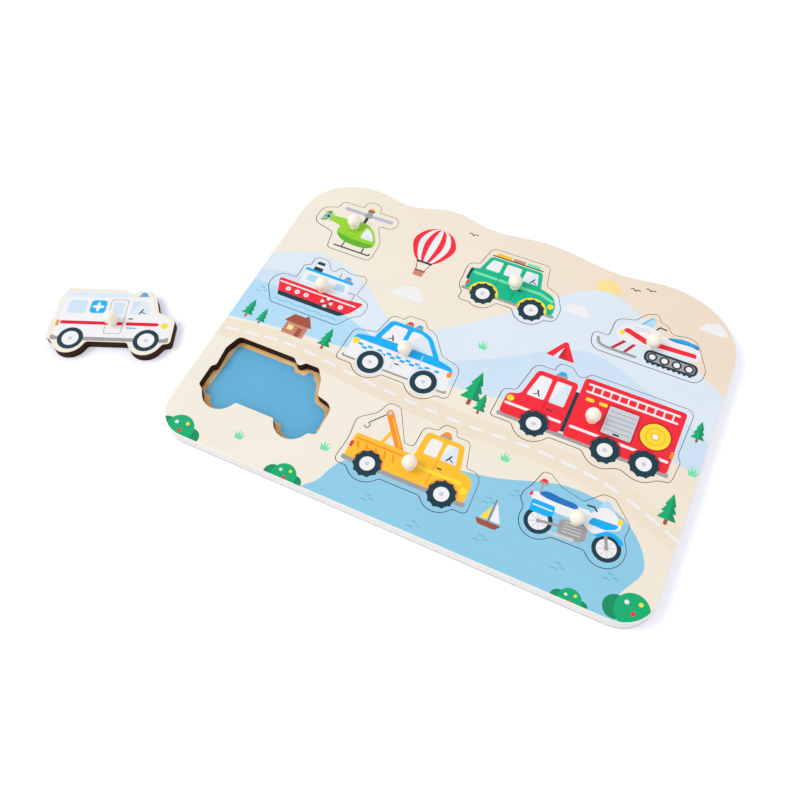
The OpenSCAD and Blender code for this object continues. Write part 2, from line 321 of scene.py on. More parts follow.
@dataclass(frozen=True)
class Beacon:
    """A printed roof lamp on its base."""

    x: float
    y: float
    ink: Ink
    r: float = 2.3
    base_h: float = 1.4

    def draw(self, pen: Pen) -> None:
        """Prints the base and the lamp."""
        pen.dome(self.ink, self.x, self.y + self.base_h, self.r)
        pen.box(Ink.GREY, self.x - 1.3 * self.r, self.y, 2.6 * self.r, self.base_h, 0.4 * self.base_h)


def steering(pen: Pen, x: float, y: float, side: int) -> None:
    """Prints a steering wheel and its column behind a window, leaning to one side."""
    pen.line(Ink.NAVY, 0.6, (x, y), (x + 2.8 * side, y - 1.6))
    pen.line(Ink.NAVY, 0.9, (x - 0.9 * side, y - 1.7), (x + 1.0 * side, y + 1.8))


def handle(pen: Pen, x: float, y: float, length: float = 2.4, width: float = 0.9) -> None:
    """Prints a level door handle from its left end."""
    pen.line(Ink.NAVY, width, (x, y), (x + length, y))


class Picture:
    """A picture of one vehicle, printed on its piece."""

    name: str
    home: Point
    turn: float = 0.0
    windows: tuple[Loop, ...] = ()
    wheels: tuple[Wheel, ...] = ()

    def draw(self, pen: Pen) -> None:
        """Prints the picture, in millimetres from the outline's lower left corner."""
        raise NotImplementedError

    def glaze(self, pen: Pen, ink: Ink, radius: float, shine: Point, shine_r: float) -> None:
        """Prints the windows, and the slanting shine on the last of them.

        Args:
            pen: The pen of the picture.
            ink: The ink of the glass.
            radius: The rounding of the windows.
            shine: The upper end of the shine's slanting side.
            shine_r: The rounding of the shine.
        """
        for window in self.windows:
            pen.panel(ink, window, radius)
        pen.panel(Ink.SHELL, (window[0], shine, *window[-2:]), shine_r)

    def roll(self, pen: Pen, arch: Ink | None = None, arch_w: float = 0.0) -> None:
        """Prints the wheels, each under its arch if there is one."""
        for wheel in self.wheels:
            if arch:
                pen.dome(arch, wheel.x, wheel.y, wheel.tyre_r + arch_w)
            wheel.draw(pen)


@dataclass(frozen=True)
class Helicopter(Picture):
    """A small rescue helicopter."""

    name: str = "helicopter"
    home: Point = (39.3, 186.9)
    skid_y: float = 3.8
    skid_x: Pair = (22.5, 47.3)
    strut_x: Pair = (28.0, 42.0)
    mast_x: float = 32.6
    rotor_y: float = 36.2
    rotor_r: float = 18.0
    blade_w: float = 3.0
    tail_at: Point = (7.2, 24.8)
    cabin: Loop = (
        (18.3, 17.5), (21.5, 11.6), (29.5, 8.4), (40.0, 8.2), (45.8, 10.3), (47.5, 14.2),
        (45.4, 19.6), (40.6, 25.4), (34.0, 28.6), (27.0, 28.2), (21.5, 24.5),
    )
    belly: Loop = (
        (19.6, 14.2), (23.8, 10.3), (30.0, 8.5), (40.0, 8.3), (45.6, 10.2), (47.1, 12.6),
        (40.0, 12.6), (30.0, 12.9),
    )
    boom: Loop = ((5.6, 23.2), (5.6, 26.4), (22.0, 27.8), (24.0, 19.0))
    fin: Loop = ((3.2, 19.8), (6.6, 20.4), (9.6, 24.0), (8.2, 30.2), (5.2, 30.0))
    screen: Loop = ((35.8, 15.8), (35.8, 25.9), (39.8, 24.1), (44.2, 18.9), (45.4, 15.8))
    door: Loop = ((24.4, 14.8), (24.4, 19.2), (32.6, 19.2), (32.6, 14.8))

    def draw(self, pen: Pen) -> None:
        """Prints skids, cabin, tail and rotors."""
        low, high = self.skid_x
        for x in self.strut_x:
            pen.line(Ink.NAVY, 0.9, (x, 10.0), (x + 0.06 * (x - self.mast_x), self.skid_y))
        pen.line(Ink.NAVY, 1.1, (low, self.skid_y), (high, self.skid_y))
        pen.sweep(Ink.NAVY, 1.1, (high - 0.4, self.skid_y), (high + 0.5, self.skid_y + 0.4),
                  (high + 0.9, self.skid_y + 1.3))
        pen.panel(Ink.LEAF, self.fin, 1.6)
        pen.panel(Ink.LIME, self.boom, 1.0)
        pen.box(Ink.NAVY, self.mast_x - 1.1, 27.0, 2.2, self.rotor_y - 27.0)
        pen.soft(Ink.LIME, self.cabin)
        pen.soft(Ink.LEAF, self.belly)
        pen.panel(Ink.WHITE, self.screen, 1.8)
        pen.panel(Ink.SHELL, ((37.6, 15.8), (37.6, 18.4), (43.6, 19.4), (45.4, 15.8)), 0.8)
        pen.panel(Ink.LEAF, self.door, 1.2)
        pen.panel(Ink.LIME, tuple((x * 0.94 + 1.7, y * 0.86 + 2.4) for x, y in self.door), 1.0)
        tail = pen.at(*self.tail_at)
        for side in (1, -1):
            tail.line(Ink.LILAC, 1.5, (-3.1, -3.1 * side), (3.1, 3.1 * side))
        tail.rings((Ink.NAVY, 1.2))
        hub = pen.at(self.mast_x, self.rotor_y)
        low, high = -0.5 * self.blade_w, 0.5 * self.blade_w
        for tip in (-self.rotor_r, self.rotor_r):
            hub.panel(Ink.LILAC, ((0.0, low), (tip, low), (tip, high), (0.0, 0.6 * high)), 1.2)
        pen.panel(Ink.GREY, ((29.6, 34.0), (35.6, 34.0), (34.4, 39.6), (30.8, 39.6)), 1.0)
        pen.dome(Ink.ORANGE, self.mast_x, 40.4, 2.3)
        pen.box(Ink.NAVY, self.mast_x - 2.6, 39.5, 5.2, 1.1, 0.5)


@dataclass(frozen=True)
class Boat(Picture):
    """A small harbour boat with a cabin and a funnel."""

    name: str = "boat"
    home: Point = (45.0, 130.2)
    hull: Loop = ((3.8, 20.0), (9.2, 6.6), (53.4, 6.6), (59.6, 12.0), (64.2, 21.8), (50.0, 20.0))
    keel: Loop = ((7.9, 9.9), (9.2, 6.6), (53.4, 6.6), (57.2, 9.9))
    cabin: Loop = ((17.2, 19.6), (17.2, 32.4), (48.4, 32.4), (52.6, 19.6))
    funnel: Loop = ((20.8, 34.0), (21.2, 41.6), (26.2, 41.6), (27.4, 34.0))
    roof: Loop = ((15.9, 32.2), (15.9, 34.4), (50.4, 34.4), (50.8, 32.2))
    ring_at: Point = (41.6, 13.4)
    ring_r: Pair = (4.1, 1.9)
    porthole_x: tuple[float, ...] = (13.6, 20.2, 26.8, 51.6)

    def draw(self, pen: Pen) -> None:
        """Prints waves, hull, cabin, funnel, lamp and life ring."""
        pen.sweep(Ink.LAKE, 1.1, *((9 + 5 * i, 3.5 + 0.5 * (-1) ** i) for i in range(10)))
        pen.panel(Ink.WHITE, self.cabin, 1.6)
        pen.panel(Ink.SHELL, ((17.2, 20.0), (17.2, 23.0), (51.6, 23.0), (52.4, 20.0)))
        pen.panel(Ink.BLUE, self.roof, 0.9)
        pen.panel(Ink.NAVY, self.funnel, 0.9)
        pen.panel(Ink.WHITE, ((21.0, 37.0), (21.1, 39.2), (26.6, 39.2), (26.9, 37.0)))
        pen.panel(Ink.ICE, ((20.2, 24.6), (20.2, 30.0), (27.0, 30.0), (27.0, 24.6)), 1.0)
        pen.panel(Ink.ICE, ((40.6, 24.6), (40.6, 30.0), (46.6, 30.0), (48.4, 24.6)), 1.0)
        pen.line(Ink.GREY, 0.8, (55.6, 20.5), (55.6, 26.0), (50.6, 26.0))
        pen.line(Ink.GREY, 0.8, (40.0, 34.8), (40.0, 38.0))
        Beacon(46.0, 34.3, Ink.BLUE, 2.0).draw(pen)
        pen.panel(Ink.RED, self.hull, 2.4)
        pen.panel(Ink.NAVY, self.keel, 1.6)
        pen.line(Ink.WHITE, 1.1, (6.2, 17.2), (59.8, 17.4))
        for x in self.porthole_x:
            pen.at(x, 13.4).rings((Ink.WHITE, 1.7), (Ink.ICE, 1.1))
        ring = pen.at(*self.ring_at)
        outer, inner = self.ring_r
        ring.rings((Ink.WHITE, outer))
        for start in (22, 112, 202, 292):
            ring.fill(Ink.CRIMSON, ((0.0, 0.0), *arc(0.0, 0.0, outer, outer, start, start + 46)))
        ring.rings((Ink.RED, inner))


@dataclass(frozen=True)
class OffRoader(Picture):
    """A tall four-wheel-drive car with luggage on its roof."""

    name: str = "off_roader"
    home: Point = (157.2, 181.4)
    body: Loop = ((4.2, 12.0), (4.6, 29.6), (51.2, 29.8), (59.8, 26.6), (63.5, 19.6), (63.7, 12.0))
    cabin: Loop = ((7.4, 27.5), (11.4, 42.4), (47.0, 42.4), (50.8, 27.5))
    windows: tuple[Loop, ...] = (
        ((11.2, 31.0), (13.6, 40.0), (20.8, 40.0), (20.8, 31.0)),
        ((23.6, 31.0), (23.6, 40.0), (33.8, 40.0), (33.8, 31.0)),
        ((36.6, 31.0), (36.6, 40.0), (44.9, 40.0), (47.3, 31.0)),
    )
    wheels: tuple[Wheel, ...] = (Wheel(17.5, 11.3, treads=11), Wheel(50.2, 11.3, treads=11))
    rack_y: float = 43.6
    luggage: tuple[tuple[Ink, float, float], ...] = (
        (Ink.AMBER, 14.0, 10.5), (Ink.CLAY, 25.6, 8.4), (Ink.MINT, 35.2, 9.0),
    )

    def draw(self, pen: Pen) -> None:
        """Prints roof load, cabin, body, stripe and wheels."""
        for ink, x, length in self.luggage:
            pen.box(ink, x, self.rack_y, length, 2.9, 0.9)
        pen.line(Ink.NAVY, 0.9, (12.0, self.rack_y), (46.4, self.rack_y))
        pen.box(Ink.NAVY, 2.6, 18.6, 3.6, 10.2, 1.7)
        pen.line(Ink.GREY, 2.4, (3.8, 11.4), (64.0, 11.4))
        pen.panel(Ink.GREEN, self.cabin, 2.4)
        pen.panel(Ink.GREEN, self.body, 2.6)
        self.glaze(pen, Ink.WHITE, 1.3, (41.8, 40.0), 0.8)
        steering(pen, 43.0, 33.4, 1)
        pen.line(Ink.MINT, 2.0, (6.4, 25.6), (51.5, 25.6), (60.2, 22.6))
        for x in (22.2, 35.2):
            pen.line(Ink.SPRUCE, 0.6, (x, 14.0), (x, 29.6))
        handle(pen, 37.2, 22.6)
        self.roll(pen, Ink.YELLOW, 1.7)
        pen.disc(Ink.YELLOW, 60.6, 18.6, 2.0)
        pen.box(Ink.RED, 4.2, 14.6, 1.8, 3.4, 0.7)


@dataclass(frozen=True)
class Snowmobile(Picture):
    """A snowmobile on a ski and a track."""

    name: str = "snowmobile"
    home: Point = (250.1, 176.4)
    cowl: Loop = (
        (12.8, 16.6), (13.6, 22.4), (18.6, 26.0), (25.5, 29.0), (33.5, 28.8), (39.5, 25.6),
        (47.0, 24.2), (58.0, 24.6), (63.6, 22.4), (64.4, 18.0), (60.0, 14.2), (45.0, 13.2),
        (28.0, 12.6), (17.0, 13.4),
    )
    flash: Loop = ((15.8, 20.4), (31.0, 15.4), (62.6, 17.2), (61.6, 20.4), (32.0, 19.2), (18.2, 23.4))
    seat: Loop = ((42.4, 23.8), (43.6, 26.0), (52.0, 27.9), (61.0, 27.0), (62.6, 23.8))
    screen: Loop = ((24.4, 28.2), (30.2, 36.6), (33.0, 36.4), (32.2, 28.2))
    ski: Loop = ((3.8, 9.0), (5.2, 5.8), (9.0, 4.2), (18.0, 3.9), (28.5, 3.9))
    track: tuple[float, float, float, float] = (33.0, 3.4, 32.6, 9.4)
    bogie_x: tuple[float, ...] = (38.0, 45.5, 53.0, 60.5)
    lugs: int = 9

    def draw(self, pen: Pen) -> None:
        """Prints ski, track, cowl, screen, seat and handlebar."""
        x, y, w, h = self.track
        for i in range(self.lugs):
            pen.box(Ink.NAVY, x + 2.6 + i * (w - 7.0) / (self.lugs - 1), y - 0.8, 1.8, 1.6)
        pen.box(Ink.NAVY, x, y, w, h, 0.48 * h)
        pen.box(Ink.GREY, x + 1.6, y + 1.6, w - 3.2, h - 3.2, 0.46 * (h - 3.2))
        for bogie in self.bogie_x:
            pen.at(bogie, y + h / 2).rings((Ink.NAVY, 3.0), (Ink.WHITE, 1.9))
        pen.line(Ink.CRIMSON, 1.9, (20.6, 14.5), (13.6, 4.6))
        pen.line(Ink.CRIMSON, 1.9, (26.4, 14.0), (21.4, 4.6))
        pen.sweep(Ink.GREY, 2.0, *self.ski)
        pen.panel(Ink.ICE, self.screen, 1.2)
        pen.line(Ink.BLUE, 0.8, (30.3, 36.3), (25.0, 28.8))
        pen.line(Ink.NAVY, 1.0, (34.4, 28.0), (36.4, 31.2), (40.2, 30.6))
        pen.panel(Ink.ROYAL, self.seat, 1.3)
        pen.panel(Ink.BLUE, ((44.4, 25.2), (44.8, 26.0), (52.0, 27.4), (60.4, 26.6), (61.0, 25.4)), 0.5)
        pen.soft(Ink.WHITE, self.cowl)
        pen.panel(Ink.RED, self.flash, 1.2)
        pen.panel(Ink.SHELL, ((27.0, 12.8), (31.0, 14.6), (61.0, 15.6), (59.6, 14.2), (45.0, 13.2)), 0.6)
        pen.oval(Ink.YELLOW, 15.9, 18.6, 1.6, 2.0)
        pen.line(Ink.SILVER, 0.6, (22.0, 25.4), (30.5, 26.6))
        pen.line(Ink.SILVER, 0.6, (22.6, 23.8), (31.0, 25.0))


@dataclass(frozen=True)
class PatrolCar(Picture):
    """A saloon car with a checked stripe and two roof lamps."""

    name: str = "patrol_car"
    home: Point = (114.8, 106.7)
    body: Loop = ((3.4, 10.4), (3.8, 27.6), (15.2, 29.8), (60.2, 29.6), (69.8, 27.2), (71.1, 10.4))
    cabin: Loop = ((14.8, 28.4), (20.0, 45.8), (41.6, 45.8), (48.6, 43.2), (60.4, 28.4))
    windows: tuple[Loop, ...] = (
        ((19.2, 30.6), (23.0, 43.0), (32.4, 43.0), (32.4, 30.6)),
        ((35.4, 30.6), (35.4, 43.0), (41.6, 43.0), (46.8, 40.8), (54.8, 30.6)),
    )
    wheels: tuple[Wheel, ...] = (Wheel(21.2, 11.6, 8.3, 4.9), Wheel(56.7, 11.6, 8.3, 4.9))
    check: Pair = (3.2, 1.7)
    check_at: Point = (8.4, 20.6)
    checks: int = 17

    def draw(self, pen: Pen) -> None:
        """Prints cabin, body, checks, lamps and wheels."""
        Beacon(32.0, 45.6, Ink.RED, 2.1).draw(pen)
        Beacon(38.4, 45.6, Ink.BLUE, 2.1).draw(pen)
        pen.box(Ink.GREY, 2.6, 8.8, 69.4, 2.8, 1.3)
        pen.panel(Ink.BLUE, self.cabin, 3.2)
        pen.panel(Ink.BLUE, self.body, 3.2)
        pen.panel(Ink.WHITE, ((3.3, 10.2), (3.7, 24.6), (70.1, 24.6), (71.2, 10.2)), 1.6)
        self.glaze(pen, Ink.WHITE, 1.5, (42.4, 42.6), 0.9)
        steering(pen, 26.4, 33.2, -1)
        (x, y), (w, h) = self.check_at, self.check
        for row in (0, 1):
            for i in range(row, self.checks, 2):
                pen.box(Ink.BLUE, x + i * w, y - row * h, w, h)
        for x in (34.0, 49.0):
            pen.line(Ink.SILVER, 0.6, (x, 11.8), (x, 28.6))
            handle(pen, x + 1.6, 16.6, 2.2)
        for wheel in self.wheels:
            pen.disc(Ink.SHELL, wheel.x, wheel.y, wheel.tyre_r + 1.1)
            wheel.draw(pen)
        pen.disc(Ink.YELLOW, 6.2, 22.6, 2.4)
        pen.oval(Ink.ORANGE, 69.0, 22.4, 1.6, 2.2)


@dataclass(frozen=True)
class FireEngine(Picture):
    """A fire engine with a roof ladder, roller shutters and a hose reel."""

    name: str = "fire_engine"
    home: Point = (233.6, 108.9)
    cab: Loop = ((3.6, 11.4), (3.8, 25.8), (11.2, 27.8), (15.2, 48.2), (40.6, 48.2), (40.6, 11.4))
    body: Loop = ((42.8, 11.4), (42.8, 54.4), (104.4, 54.4), (104.0, 11.4))
    windows: tuple[Loop, ...] = (
        ((14.2, 29.0), (17.6, 45.0), (25.2, 45.0), (25.2, 29.0)),
        ((28.0, 29.0), (28.0, 45.0), (37.4, 45.0), (37.4, 29.0)),
    )
    wheels: tuple[Wheel, ...] = (
        Wheel(25.4, 11.9, 8.2, treads=11), Wheel(68.1, 12.1, 8.2, treads=11),
        Wheel(90.7, 12.5, 8.2, treads=11),
    )
    ladder_x: Pair = (46.5, 100.5)
    ladder_y: Pair = (45.4, 50.8)
    rungs: int = 10
    shutter: tuple[float, float, float, float] = (62.0, 22.4, 17.6, 19.0)
    slats: int = 6
    reel_at: Point = (91.6, 32.0)
    reel_r: float = 8.6

    def draw(self, pen: Pen) -> None:
        """Prints cab, body, ladder, shutter, reel and wheels."""
        Beacon(29.6, 48.0, Ink.BLUE, 2.8, 1.8).draw(pen)
        pen.box(Ink.GREY, 2.8, 9.2, 102.4, 3.0, 1.4)
        pen.box(Ink.NAVY, 40.0, 13.4, 3.4, 29.0)
        pen.panel(Ink.RED, self.cab, 3.0)
        pen.panel(Ink.RED, self.body, 2.6)
        self.glaze(pen, Ink.WHITE, 1.5, (33.6, 45.0), 0.9)
        steering(pen, 20.8, 32.4, -1)
        for low, high in ((5.4, 38.6), (45.2, 102.0)):
            pen.line(Ink.WHITE, 1.8, (low, 19.0), (high, 19.0))
        pen.line(Ink.CRIMSON, 0.7, (26.6, 20.6), (26.6, 28.2))
        handle(pen, 29.0, 24.0, 3.0, 1.0)
        low, high = self.ladder_x
        bottom, top = self.ladder_y
        for i in range(self.rungs):
            x = low + 3.0 + i * (high - low - 6.0) / (self.rungs - 1)
            pen.line(Ink.WHITE, 1.0, (x, bottom), (x, top))
        for y in self.ladder_y:
            pen.line(Ink.WHITE, 1.4, (low, y), (high, y))
        x, y, w, h = self.shutter
        pen.box(Ink.CRIMSON, x - 1.2, y - 1.2, w + 2.4, h + 2.4, 1.4)
        pen.box(Ink.SILVER, x, y, w, h, 0.8)
        for i in range(1, self.slats):
            slat = y + i * h / self.slats
            pen.line(Ink.GREY, 0.5, (x + 1.0, slat), (x + w - 1.0, slat))
        pen.box(Ink.NAVY, x + w / 2 - 2.0, y + 0.8, 4.0, 1.2, 0.5)
        pen.at(*self.reel_at).rings(
            (Ink.CRIMSON, self.reel_r + 1.1), (Ink.YELLOW, self.reel_r), (Ink.AMBER, 0.72 * self.reel_r),
            (Ink.YELLOW, 0.58 * self.reel_r), (Ink.AMBER, 0.34 * self.reel_r),
            (Ink.WHITE, 0.2 * self.reel_r),
        )
        self.roll(pen, Ink.CRIMSON, 1.3)
        pen.disc(Ink.YELLOW, 6.8, 22.9, 2.2)
        pen.box(Ink.ORANGE, 102.4, 22.0, 2.2, 4.6, 0.9)
        for x in (47.4, 55.6):
            pen.box(Ink.YELLOW, x, 39.2, 5.0, 2.4, 0.9)


@dataclass(frozen=True)
class TowTruck(Picture):
    """A tow truck with a boom over its flat bed."""

    name: str = "tow_truck"
    home: Point = (150.2, 43.8)
    bed: Loop = ((3.4, 11.4), (4.2, 27.4), (40.0, 27.4), (40.0, 11.4))
    cab: Loop = ((39.6, 11.4), (41.4, 44.6), (64.8, 44.8), (68.6, 29.0), (68.6, 11.4))
    bonnet: Loop = ((58.0, 11.4), (58.0, 28.6), (73.6, 28.4), (77.6, 24.8), (77.9, 11.4))
    windows: tuple[Loop, ...] = (
        ((44.6, 30.6), (45.2, 41.6), (52.6, 41.7), (52.6, 30.6)),
        ((55.2, 30.6), (55.2, 41.7), (62.2, 41.8), (64.8, 30.6)),
    )
    wheels: tuple[Wheel, ...] = (Wheel(18.5, 11.5, treads=11), Wheel(64.5, 11.4, treads=11))
    boom: tuple[Point, Point] = ((33.0, 25.0), (16.2, 46.8))
    hook_at: Point = (7.4, 33.4)

    def draw(self, pen: Pen) -> None:
        """Prints boom, bed, cab, windows and wheels."""
        Beacon(52.8, 44.4, Ink.ORANGE, 2.8, 1.8).draw(pen)
        foot, tip = self.boom
        x, y = self.hook_at
        pen.line(Ink.NAVY, 0.7, tip, (x, y + 2.4))
        pen.at(x, y).sweep(Ink.GREY, 1.0, (0.0, 2.6), (1.6, 1.0), (0.4, -1.0), (-1.4, -0.2))
        pen.line(Ink.AMBER, 2.2, (20.0, 26.0), (23.4, 38.4))
        pen.line(Ink.ORANGE, 4.4, foot, tip)
        pen.line(Ink.AMBER, 0.9, (31.0, 29.0), (19.6, 43.8))
        pen.disc(Ink.SILVER, *tip, 1.3)
        pen.box(Ink.GREY, 2.6, 8.6, 76.4, 3.2, 1.5)
        pen.box(Ink.AMBER, 34.0, 11.4, 12.0, 12.0)
        pen.panel(Ink.AMBER, self.bonnet, 3.0)
        pen.panel(Ink.AMBER, self.cab, 3.0)
        pen.panel(Ink.AMBER, self.bed, 1.8)
        pen.line(Ink.ORANGE, 1.1, (6.2, 24.2), (38.4, 24.2))
        for i in range(5):
            pen.line(Ink.ORANGE, 1.3, (7.6 + 5.6 * i, 22.2), (9.2 + 5.6 * i, 18.4))
        self.glaze(pen, Ink.WHITE, 1.4, (59.2, 41.6), 0.8)
        steering(pen, 59.6, 33.4, 1)
        pen.line(Ink.ORANGE, 0.6, (54.0, 13.0), (54.0, 29.6))
        handle(pen, 55.8, 25.2)
        pen.line(Ink.YELLOW, 2.0, (46.6, 21.6), (71.0, 21.6))
        self.roll(pen, Ink.ORANGE, 1.2)
        pen.disc(Ink.YELLOW, 74.6, 18.0, 2.2)
        pen.box(Ink.RED, 3.5, 17.6, 2.0, 4.0, 0.8)


@dataclass(frozen=True)
class Motorcycle(Picture):
    """A touring motorcycle with a screen and side cases."""

    name: str = "motorcycle"
    home: Point = (245.7, 45.2)
    wheels: tuple[Wheel, ...] = (Wheel(13.4, 11.4, 7.9, 5.5, 1.2), Wheel(51.9, 11.2, 7.9, 5.5, 1.2))
    spokes: int = 8
    fairing: Loop = (
        (36.5, 19.5), (37.6, 25.4), (40.5, 31.0), (45.6, 33.6), (51.0, 31.6), (55.0, 27.0),
        (54.6, 23.6), (48.6, 20.4), (43.0, 16.6),
    )
    tail: Loop = (
        (4.2, 22.8), (4.8, 27.0), (13.0, 28.4), (27.0, 27.8), (38.0, 28.4), (39.6, 20.8), (22.0, 19.4),
    )
    seat: Loop = (
        (8.6, 27.2), (12.4, 29.8), (21.0, 29.2), (29.0, 28.8), (30.2, 26.0), (20.0, 25.4), (12.0, 25.8),
    )
    engine: Loop = ((25.0, 8.6), (23.8, 17.4), (39.0, 19.6), (40.4, 10.0), (36.0, 7.8))
    screen: Loop = ((40.6, 30.6), (42.8, 37.8), (46.0, 37.6), (51.0, 31.6))
    case: Loop = ((6.6, 15.4), (6.0, 22.8), (19.4, 22.8), (19.8, 17.0), (17.0, 15.2))

    def draw(self, pen: Pen) -> None:
        """Prints wheels, engine, body, seat, screen and side case."""
        for wheel in self.wheels:
            wheel.draw(pen)
            hub = pen.at(wheel.x, wheel.y)
            hub.rays(Ink.SILVER, 0.45, 0.0, 0.94 * wheel.rim_r, self.spokes, 0.5)
            hub.rings((Ink.GREY, wheel.cap_r))
        pen.line(Ink.GREY, 1.8, (51.9, 11.2), (46.4, 26.0))
        pen.line(Ink.GREY, 1.6, (13.4, 11.4), (27.0, 13.4))
        pen.panel(Ink.GREY, self.engine, 2.0)
        for i in range(4):
            pen.line(Ink.SILVER, 0.6, (27.2, 11.0 + 1.9 * i), (36.8, 11.6 + 1.9 * i))
        pen.line(Ink.SILVER, 2.0, (34.0, 8.2), (21.4, 7.4))
        x, y = self.wheels[1].x, self.wheels[1].y
        pen.fill(Ink.BLUE, (*arc(x, y, 9.6, 9.6, 35, 150), *reversed(arc(x, y, 7.2, 7.2, 35, 150))))
        Beacon(8.6, 33.0, Ink.RED, 2.2).draw(pen)
        pen.line(Ink.GREY, 0.9, (8.6, 27.0), (8.6, 33.0))
        pen.panel(Ink.WHITE, self.tail, 2.4)
        pen.soft(Ink.ROYAL, self.seat)
        pen.panel(Ink.ICE, self.screen, 1.4)
        pen.soft(Ink.WHITE, self.fairing)
        pen.panel(Ink.BLUE, ((38.4, 21.0), (39.6, 25.4), (54.2, 26.2), (53.4, 23.4), (48.0, 20.8)), 1.3)
        pen.line(Ink.NAVY, 1.0, (35.0, 31.0), (38.6, 31.4), (40.6, 29.6))
        pen.panel(Ink.BLUE, self.case, 1.6)
        pen.line(Ink.WHITE, 0.8, (7.6, 19.6), (18.4, 19.6))
        pen.oval(Ink.YELLOW, 54.2, 28.4, 1.4, 2.0)
        pen.box(Ink.RED, 3.6, 24.0, 1.6, 2.6, 0.6)


@dataclass(frozen=True)
class Van(Picture):
    """A rescue van with side windows, a stripe and a roof lamp."""

    name: str = "van"
    turn: float = 21.7
    home: Point = (51.75, 49.49)
    body: Loop = ((3.2, 12.6), (4.4, 48.6), (44.6, 48.6), (46.4, 45.6), (46.4, 12.6))
    cab: Loop = (
        (43.6, 12.6), (43.6, 45.4), (62.0, 45.4), (67.4, 31.2), (76.4, 28.8), (78.5, 24.6), (78.5, 12.6),
    )
    windows: tuple[Loop, ...] = (
        ((8.4, 31.0), (8.9, 41.6), (20.4, 41.6), (20.4, 31.0)),
        ((50.2, 31.0), (50.2, 41.8), (59.8, 41.8), (64.0, 31.0)),
    )
    wheels: tuple[Wheel, ...] = (Wheel(16.05, 11.3, 8.3, 5.4), Wheel(65.05, 11.3, 8.3, 5.4))
    stripe_y: float = 23.6
    door: Pair = (36.0, 47.6)
    sign_at: Point = (28.2, 36.6)
    sign_w: float = 10.4

    def draw(self, pen: Pen) -> None:
        """Prints body, windows, stripes, sign and wheels."""
        Beacon(56.4, 45.2, Ink.BLUE, 2.5).draw(pen)
        pen.box(Ink.GREY, 2.6, 9.8, 76.6, 4.2, 1.9)
        pen.box(Ink.WHITE, 38.0, 12.6, 12.0, 12.0)
        pen.panel(Ink.WHITE, self.body, 3.4)
        pen.panel(Ink.WHITE, self.cab, 3.4)
        pen.panel(Ink.SHELL, ((5.0, 44.0), (5.2, 48.4), (44.4, 48.4), (46.0, 44.0)), 1.2)
        self.glaze(pen, Ink.MIST, 1.4, (55.4, 41.8), 0.8)
        steering(pen, 57.2, 33.6, 1)
        low, high = self.door
        pen.box(Ink.GREY, low, 15.4, high - low, 27.4, 2.2)
        pen.box(Ink.WHITE, low + 0.45, 15.85, high - low - 0.9, 26.5, 2.0)
        pen.box(Ink.MIST, low + 2.0, 30.8, high - low - 4.0, 9.8, 1.2)
        for start, end in ((7.4, 46.0), (50.4, 69.4)):
            pen.line(Ink.SCARLET, 2.6, (start, self.stripe_y), (end, self.stripe_y))
        pen.line(Ink.BLUE, 0.9, (50.6, self.stripe_y - 3.2), (56.4, self.stripe_y - 3.2))
        sign, w = pen.at(*self.sign_at), self.sign_w
        sign.box(Ink.BLUE, -w / 2, -w / 2, w, w, 0.24 * w)
        sign.line(Ink.WHITE, 0.2 * w, (-0.26 * w, 0.0), (0.26 * w, 0.0))
        sign.line(Ink.WHITE, 0.2 * w, (0.0, -0.26 * w), (0.0, 0.26 * w))
        for x in (38.2, 50.4):
            handle(pen, x, 27.6)
        self.roll(pen)
        pen.disc(Ink.YELLOW, 74.6, 22.8, 2.4)
        pen.box(Ink.ORANGE, 3.5, 20.4, 2.0, 5.0, 0.8)


